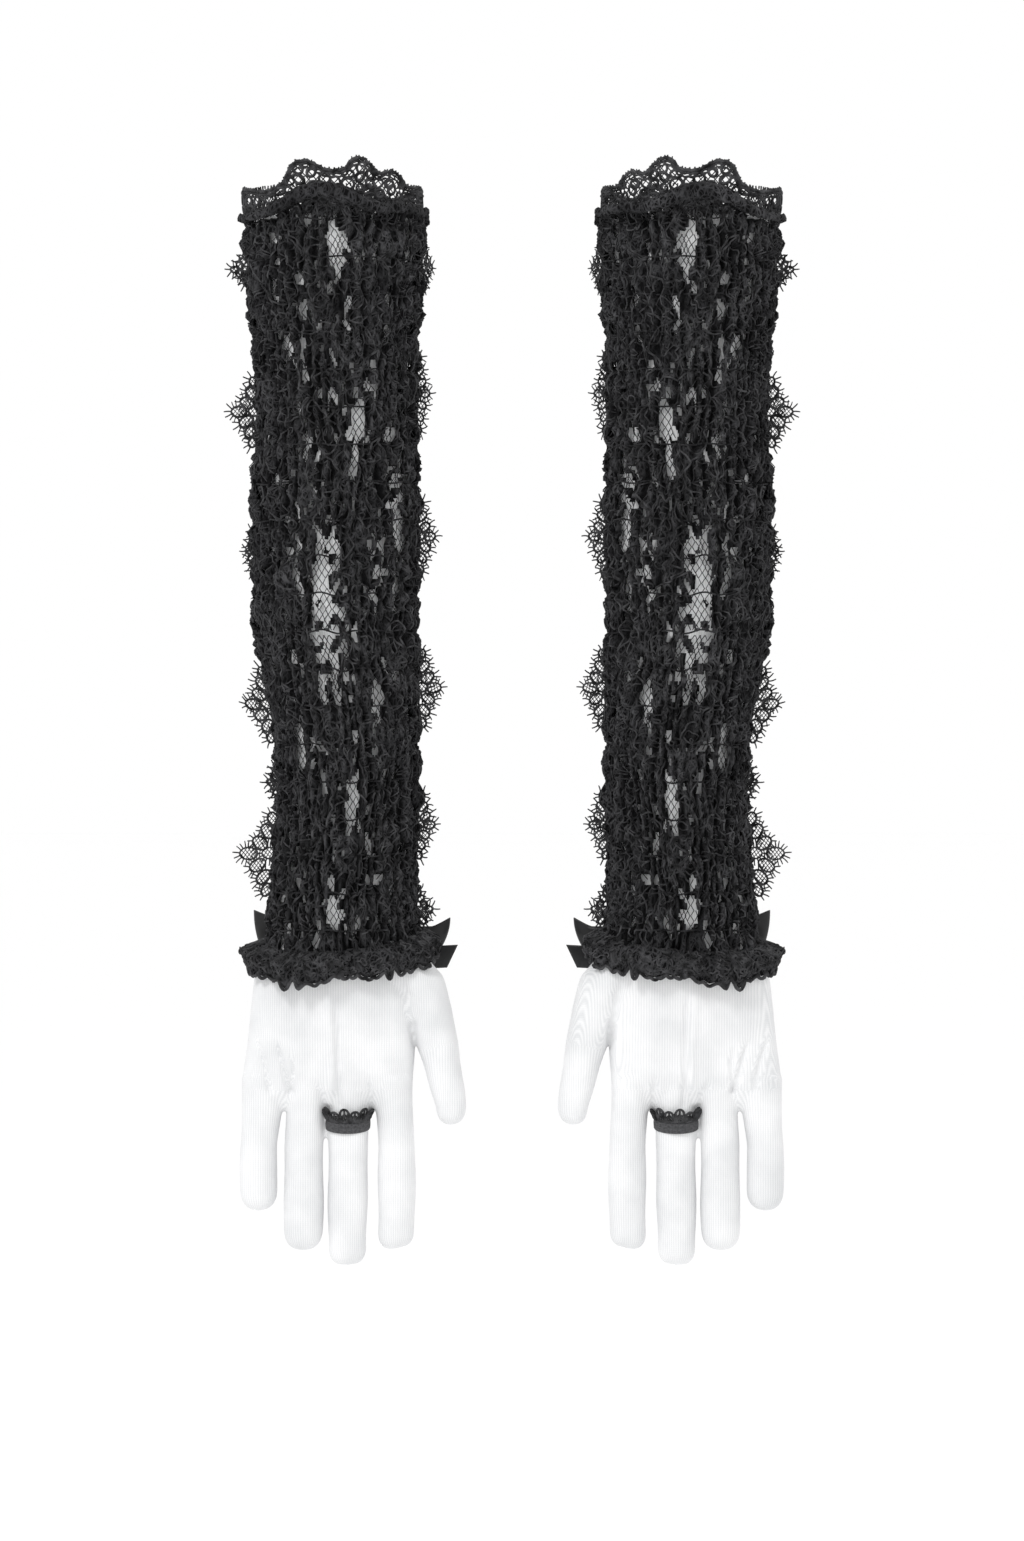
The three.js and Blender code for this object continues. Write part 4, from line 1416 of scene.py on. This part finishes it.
SIDE_POINTS = [  # side (-1 little finger, 1 thumb), middle height, reach, size along, lean to the back
    (-1, -30, 0.80, 0.42, 0.30),
    (-1, -100, 1.12, 0.96, 0.10),
    (-1, -168, 0.30, 0.60, 0.40),
    (-1, -243, 1.00, 1.05, 0.06),
    (-1, -281, 0.40, 0.45, 0.10),
    (-1, -316, 1.45, 1.15, 0.10),
    (1, -29, 0.66, 0.62, 0.95),
    (1, -91, 0.52, 1.15, 0.55),
    (1, -161, 0.66, 1.05, 0.30),
    (1, -235, 0.86, 1.10, 0.15),
    (1, -302, 0.66, 0.95, 0.25),
    (1, -343, 0.66, 0.55, 0.35),
]
SIDE_OUT = 0.6  # the base stands this far out of the sleeve's outline
SIDE_CURL = 0.05


def bent_to_side(flat, way, middle, lean):
    """From the flat drawing to the sleeve's side, leaning towards the back."""
    u, z = flat[:, 0], middle + flat[:, 1]
    centre, a, b = section(z)
    angle = 0.30 if way > 0 else math.pi - 0.30
    x = centre + (a + SIDE_OUT) * math.cos(angle) + way * u * math.cos(lean)
    y = (b + SIDE_OUT) * math.sin(angle) + u * math.sin(lean) + SIDE_CURL * np.sin(z) * u
    return np.stack((x, y, z), axis=-1)


def side_point_lines(above, below):
    lines = []
    for number, (way, middle, reach, size, lean) in enumerate(SIDE_POINTS):
        if not below < middle <= above:
            continue
        for flat, thickness, closed in scallop_lines(size, reach, 70 + number):
            lines.append((bent_to_side(flat, way, middle, lean), thickness, closed))
    return lines


# %% [markdown]
# ## The lace panel on the back
# A second, smoother layer of the same lace lies over the gathers on the back of the arm. It isn't gathered,
# so its flowers are round and its net cells are wide.

# %% The panel: net, flowers and a scalloped border
PANEL_LIFT = 0.9
PANEL_EDGE = 0.5  # the angle at which the panel ends, beyond each side
PANEL_TOP, PANEL_BOTTOM = -16, -340
PANEL_CELL = 4.2
BACK = math.pi / 2  # the angle of the middle of the back
FLOWER_PITCH = 44
FLOWER_SWAY = 7.0  # the flowers stand to the left and to the right in turn
PANEL_FLOWER = 15  # mm from its middle to its petals' ends
PANEL_LEAF = (20, 9)  # length and width


def on_panel(flat):
    """From flat millimetres (across the back from its middle, height) to the panel on the sleeve."""
    centre, a, b = section(flat[:, 1])
    angle = BACK - flat[:, 0] / ((a + b) / 2)
    return on_sleeve(angle, flat[:, 1], -PANEL_LIFT)


def panel_lines():
    draw = np.random.RandomState(90)
    half = (math.pi / 2 - PANEL_EDGE) * MEAN_RADIUS * 0.93
    border = np.array([(-half, PANEL_TOP), (half, PANEL_TOP), (half, PANEL_BOTTOM), (-half, PANEL_BOTTOM)])
    lines = [(resample(line[0], False, 4.0), line[1], False)
             for line in crossed_fill(border[::-1], PANEL_CELL, 0.34)]
    for k, middle in enumerate(np.arange(PANEL_TOP - 22, PANEL_BOTTOM + 16, -FLOWER_PITCH)):
        sway_x = FLOWER_SWAY * (-1) ** k
        for points, thickness, closed in flower(PANEL_FLOWER, 6, 60):
            lines.append((resample(points + (sway_x, middle), closed, 2.0), 1.1 * thickness, closed))
        petal = oval((sway_x, middle), (16, 16))
        lines += crossed_fill(petal, 1.9, 0.45)
        for way in (-1, 1):
            for step in (0, 1):
                turn = way * draw.uniform(0.5, 0.9)
                spot = (sway_x + way * 23 - 4 * way * step, middle - 11 + 22 * step)
                for points, thickness, closed in leaf(*PANEL_LEAF, 30):
                    lines.append((resample(spun(points, turn) + spot, closed, 2.0), thickness, closed))
    for way in (-1, 1):
        z = np.arange(PANEL_TOP, PANEL_BOTTOM, -1.6)
        edge = way * (half + 1.2 * np.abs(np.sin(z / 5.2)))
        lines.append((np.c_[edge, z], 1.2, False))
    return [(on_panel(line), thickness, closed) for line, thickness, closed in lines]


# %% [markdown]
# ## The standing edge at the arm opening
# Inside the turned frill the lace's scalloped edge stands up. It has eyelets, which are rings of thread, and
# tiny loops, here short lashes, along its rim.

# %% The rim of the standing edge, as heights by angle
EDGE_FRONT = np.array([  # x and height, on the palm's side
    (-46, 3), (-42, 6.5), (-38, 5), (-33, 3.9), (-28, 5), (-23, 8), (-19, 15), (-17, 17), (-12, 18),
    (-8, 16), (-3, 13.2), (2, 12.6), (7, 13.6), (10, 18), (12.6, 19.2), (16, 18.8), (19, 16.5),
    (23.7, 12), (29.3, 13.6), (34, 11.2), (37.7, 6.8), (42.3, 7), (46, 4.4)])
EDGE_BACK = np.array([
    (-46, 3), (-41, 0), (-35, -3), (-30, -3), (-25, 2), (-18, 10), (-11, 14), (-4, 9), (3, 6), (9, 10),
    (16, 14), (23, 9), (29, 5), (35, 8), (40, 7), (46, 4)])
EDGE_BASE = -8
EDGE_FLARE = 0.12
EDGE_INSET = 1.6
EYELET_PITCH = 4.9
RIM_CORDS = ((0, 2.0), (1.5, 1.3), (3.1, 1.2))  # mm below the rim, and thickness
edge_sway = Ripple(96, 12, 40)


def edge_height(angle):
    centre, a, _ = section(0.0)
    x = centre + a * np.cos(angle)
    front, back = (np.interp(x, edge[:, 0], edge[:, 1]) for edge in (EDGE_FRONT, EDGE_BACK))
    share = 0.5 - 0.5 * np.clip(np.sin(angle) / 0.2, -1, 1)
    return back + (front - back) * share


def on_edge(flat):
    """From flat millimetres (round the opening, height) to the standing edge."""
    angle, height = flat[:, 0] / MEAN_RADIUS, flat[:, 1]
    centre, a, b = section(0.0)
    out = EDGE_FLARE * height - EDGE_INSET + 0.8 * edge_sway(angle, height)
    return np.stack((centre + (a + out) * np.cos(angle), (b + out) * np.sin(angle), height), axis=-1)


def standing_edge_lines():
    draw = np.random.RandomState(95)
    u = np.arange(0, TAU * MEAN_RADIUS, 1.3)
    rim = np.c_[u, edge_height(u / MEAN_RADIUS) + 0.35 * np.sin(u * 2.1)]
    lines = [(rim - (0, lower), thickness, True) for lower, thickness in RIM_CORDS]
    for point in resample(rim, True, 1.7):
        tip = np.array((draw.normal(0, 0.25), draw.uniform(1.0, 1.7)))
        lines.append((np.array([point, point + tip * 0.6, point + tip]), 0.9, False))
    outline = np.vstack((rim, [(u[-1], EDGE_BASE), (0, EDGE_BASE)]))
    lines += crossed_fill(outline, 2.3, 0.62)
    for spot in np.arange(0, TAU * MEAN_RADIUS, EYELET_PITCH):
        top = float(edge_height(spot / MEAN_RADIUS))
        for height in np.arange(top - 4.4, EDGE_BASE + 2, -EYELET_PITCH):
            middle = np.array((spot, height)) + draw.normal(0, 0.7, 2)
            size = draw.uniform(3.2, 5.4, 2)
            lines.append((oval(middle, size, draw.uniform(0, 3), 14), draw.uniform(1.2, 1.9), True))
    return [(on_edge(line), thickness, closed) for line, thickness, closed in lines]


# %% Lay the open lace on both gloves
def lace_threads(name, side, lines, body):
    piece = thread_object(name, side, lines, CORD_RADIUS, 4, CORD)
    if body:
        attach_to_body(piece, f"{side}_{body}")
    return piece


point_lines = {"upper": side_point_lines(0, -322), "wrist": side_point_lines(-322, HEM)}
panel, edging = panel_lines(), standing_edge_lines()
print("threads in the side points:", sum(len(lines) for lines in point_lines.values()))
print("threads in the panel and the standing edge:", len(panel), "and", len(edging))
for side in MIRROR:
    lace_threads("side_points_arm", side, point_lines["upper"], "arm")
    bend_at_wrist(lace_threads("side_points_wrist", side, point_lines["wrist"], None))
    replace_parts(lace_threads("back_panel", side, panel, "arm"), f"{side}_back_lace_overlay")
    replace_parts(lace_threads("standing_edge", side, edging, "arm"), f"{side}_top_lace_edging")

# %% [markdown]

# %% [markdown]
# ## The satin bow
# A bow is one ribbon: two loops, two tails and a short wrap over the middle. Each loop is a sheet that
# leaves the knot, turns at its end and comes back, squeezed into pleats at the knot. It is given its
# thickness from the same grid of points, so the ribbon has real edges.

# %% Ribbon sheets
RIBBON_WALL = 0.45
KNOT_LOW, KNOT_HIGH = (np.array(corner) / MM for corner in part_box("left_bow_knot"))
KNOT_CENTRE = (KNOT_LOW + KNOT_HIGH) / 2 - (OPENING_X["left"], 0, 0)
LOOP_REACH = 44
LOOP_START = 4.4
LOOP_BELLY = 4.4  # half of the gap between a loop's front and rear
LOOP_HALF = (3.6, 1.4)  # half width at the knot, and how much it grows outwards
LOOP_TILT = {1: math.radians(-1), -1: math.radians(6)}
END_GROWTH = {1: 4.6, -1: 2.4}
END_SLANT = {1: 7.5, -1: 2.0}  # mm by which the lower corner of a loop's outer end stays back


def ribbon_sheet(grid):
    """A closed thin sheet from a grid of points (rows along the ribbon, columns across it)."""
    rows, columns = grid.shape[:2]
    faces = [[i * columns + j, (i + 1) * columns + j, (i + 1) * columns + j + 1, i * columns + j + 1]
             for i in range(rows - 1) for j in range(columns - 1)]
    outer = grid.reshape(-1, 3)
    normals = point_normals(outer, faces)
    return walled(outer + RIBBON_WALL / 2 * normals, outer - RIBBON_WALL / 2 * normals, faces)


def loop_grid(way):
    """One loop of the bow, from the knot out along the front and back along the rear."""
    t = np.linspace(0, TAU, 72)
    w = np.linspace(-1, 1, 19)
    along, across = np.meshgrid(t, w, indexing="ij")
    far = 0.5 - 0.5 * np.cos(along)
    reach = LOOP_START + LOOP_REACH * far
    belly = np.sin(along) * (0.35 + 0.65 * far ** 0.8)
    pleat = (1 - far) ** 1.6
    depth = LOOP_BELLY * belly + pleat * np.cos(4.5 * math.pi * across) + 0.5 * np.sin(3 * across + 5 * far)
    half = LOOP_HALF[0] + LOOP_HALF[1] * np.clip(far * 1.5, 0, 1) ** 0.8
    wide = np.clip(5 * far - 4, 0, 1) ** 1.2  # the outer end is twisted flat to the eye and stands tall
    height = across * (half + END_GROWTH[way] * wide) + reach * math.tan(LOOP_TILT[way])
    height = height - 0.6 * far * np.sin(along)
    slant = ((1 - across) / 2) ** 2
    x = KNOT_CENTRE[0] + way * (reach - END_SLANT[way] * far ** 2 * slant)
    return np.stack((x, KNOT_CENTRE[1] + depth, KNOT_CENTRE[2] + height + 0.6 * far), axis=-1)


TAIL_REACH, TAIL_WIDTH, TAIL_CUT = 48, 11, 6
TAIL_DROOP = {"thumb_side": math.radians(-3), "little_side": math.radians(35)}
TAIL_TOP = -6.5  # from the knot's middle


def tail_grid(way, droop):
    """A tail of the ribbon, cut off at a slant."""
    s = np.linspace(0, 1, 44)
    w = np.linspace(0, 1, 15)
    along, across = np.meshgrid(s, w, indexing="ij")
    reach = along * (TAIL_REACH - TAIL_CUT * across)
    width = TAIL_WIDTH * (0.40 + 0.60 * np.clip(along * 2.2, 0, 1) ** 0.8)
    down = -width * across
    x = reach * math.cos(droop) + down * math.sin(droop)
    z = -reach * math.sin(droop) + down * math.cos(droop)
    y = 0.9 * np.sin(5.5 * along) * along + 0.8 * (1 - along) ** 2 * np.cos(3.2 * math.pi * across)
    y = y + 0.5 * np.sin(2 * across + 4 * along)
    start = KNOT_CENTRE + (way * LOOP_START, -0.6, TAIL_TOP)
    return np.stack((start[0] + way * x, start[1] + y, start[2] + z), axis=-1)


KNOT_HALF = (4.2, 4.9, 6.6)  # half width, depth and height


def knot_grid():
    """The wrap of ribbon over the middle of the bow, with folds down it."""
    turn = np.linspace(0, TAU, 49)
    w = np.linspace(-1, 1, 17)
    around_knot, across = np.meshgrid(turn, w, indexing="ij")
    bulge = 1 - 0.30 * np.abs(across) ** 2.5 + 0.05 * np.cos(9 * across + 1.2 * np.sin(around_knot))
    y = KNOT_HALF[1] * bulge * np.cos(around_knot)
    z = KNOT_HALF[2] * bulge * np.sin(around_knot)
    x = KNOT_HALF[0] * across * (1 - 0.12 * np.cos(around_knot) ** 2)
    return KNOT_CENTRE + np.stack((x, y, z), axis=-1)


# %% Tie the bows
WAYS = {"thumb_side": 1, "little_side": -1}
LOOP_FLAT = (0.0135, 0.094)
TAIL_FLAT = (0.011, 0.048)


def facing_out(grid, way):
    """Turns the order of the columns so that the faces of both sides of the bow point the same way."""
    return grid if way > 0 else grid[:, ::-1]


for side in MIRROR:
    for name, way in WAYS.items():
        points, faces, _ = ribbon_sheet(facing_out(loop_grid(way), way))
        loop = cloth_object(f"bow_loop_{name}_ribbon", side, points, faces, SATIN)
        points, faces, _ = ribbon_sheet(facing_out(tail_grid(way, TAIL_DROOP[name]), way))
        tail = cloth_object(f"bow_tail_{name}_ribbon", side, points, faces, SATIN)
        made = ((loop, "loop", LOOP_FLAT, "folded"), (tail, "tail", TAIL_FLAT, "hung"))
        for piece, part, flat, held in made:
            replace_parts(piece, f"{side}_bow_{part}_{name}")
            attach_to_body(piece, f"{side}_bow_{part}_{name}")
    points, faces, _ = ribbon_sheet(knot_grid())
    wrap = cloth_object("bow_knot_wrap", side, points, faces, SATIN)
    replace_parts(wrap, f"{side}_bow_knot")
    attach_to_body(wrap, f"{side}_hand")
print("bows tied")

# %% [markdown]
# ## The finger ring
# A short band of covered elastic with a row of small lace lobes sewn to its upper edge.

# %% Band and lace of the ring
RING_CENTRE, RING_HALF, RING_DEPTH = 7.1, 10.6, 9.9
RING_TOP, RING_BOTTOM = -443.4, -449.2
RING_WALL = 1.1
RING_RIBS = 5
RING_TILT = 1.9  # the band sits this much lower on the palm's side
RING_COLUMNS, RING_ROWS = 96, 12


def ring_point(angle, out, z):
    return np.stack((RING_CENTRE + (RING_HALF + out) * np.cos(angle), (RING_DEPTH + out) * np.sin(angle),
                     z + RING_TILT * np.sin(angle)), axis=-1)


def ring_band():
    angles = np.arange(RING_COLUMNS) * TAU / RING_COLUMNS
    heights = np.linspace(RING_TOP, RING_BOTTOM, RING_ROWS)
    angle, z = np.meshgrid(angles, heights)
    share = (z - RING_BOTTOM) / (RING_TOP - RING_BOTTOM)
    rib = 0.14 * np.abs(np.sin(RING_RIBS * math.pi * share)) + 0.35 * np.sin(math.pi * share) ** 0.5
    outer = ring_point(angle, rib, z).reshape(-1, 3)
    inner = ring_point(angle, -RING_WALL, z).reshape(-1, 3)
    points, faces, used = walled(outer, inner, ring_faces(RING_ROWS, RING_COLUMNS))
    cloth = np.c_[angle.ravel() * RING_HALF, z.ravel()]
    return points, faces, np.vstack((cloth, cloth))[used]


# %% Lace lobes of the ring
LOBES = 15
LOBE_HEIGHT = 6.0
LOBE_TALLNESS = (0.78, 0.95, 0.7, 1.0)
LOBE_CORD = 0.55  # mm


def ring_lace_lines():
    lines = []
    width = TAU / LOBES
    for k in range(LOBES):
        t = np.linspace(0, math.pi, 10)
        for share, thick in ((1.0, 1.15), (0.55, 1.0)):
            angle = k * width + share * 0.5 * width * -np.cos(t) * 1.04
            tall = LOBE_HEIGHT * share * LOBE_TALLNESS[k % 4]
            z = RING_TOP + 0.2 + tall * np.sin(t) ** 0.8
            lines.append((ring_point(angle, 0.5 + 2.0 * share * np.sin(t), z), thick, False))
        for at in np.linspace(0.25, 0.75, 3) * math.pi:
            angle = k * width - 0.5 * width * math.cos(at)
            tall = LOBE_HEIGHT * math.sin(at) * LOBE_TALLNESS[k % 4]
            ends = np.array([0.0, 0.5, 1.0])
            strut = ring_point(np.full(3, angle), 0.5 + 1.8 * ends, RING_TOP + tall * ends)
            lines.append((strut, 0.9, False))
    base = np.arange(60) * TAU / 60
    lines.append((ring_point(base, 0.55, RING_TOP + 0.1 + 0.25 * np.cos(20 * base)), 1.2, True))
    return lines


points, faces, cloth = ring_band()
ring_lines = ring_lace_lines()
for side in MIRROR:
    band = cloth_object("ring_band_elastic", side, points, faces, ELASTIC, cloth=cloth)
    lobes = thread_object("ring_lace_lobes", side, ring_lines, LOBE_CORD, 6, CORD)
    for piece, node_name, slot in ((band, "ring_elastic_band", "elastic"), (lobes, "ring_lace_edge", "lace")):
        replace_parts(piece, f"{side}_{node_name}")
        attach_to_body(piece, f"{side}_finger_ring")
print("the ring has", len(ring_lines), "lace threads")
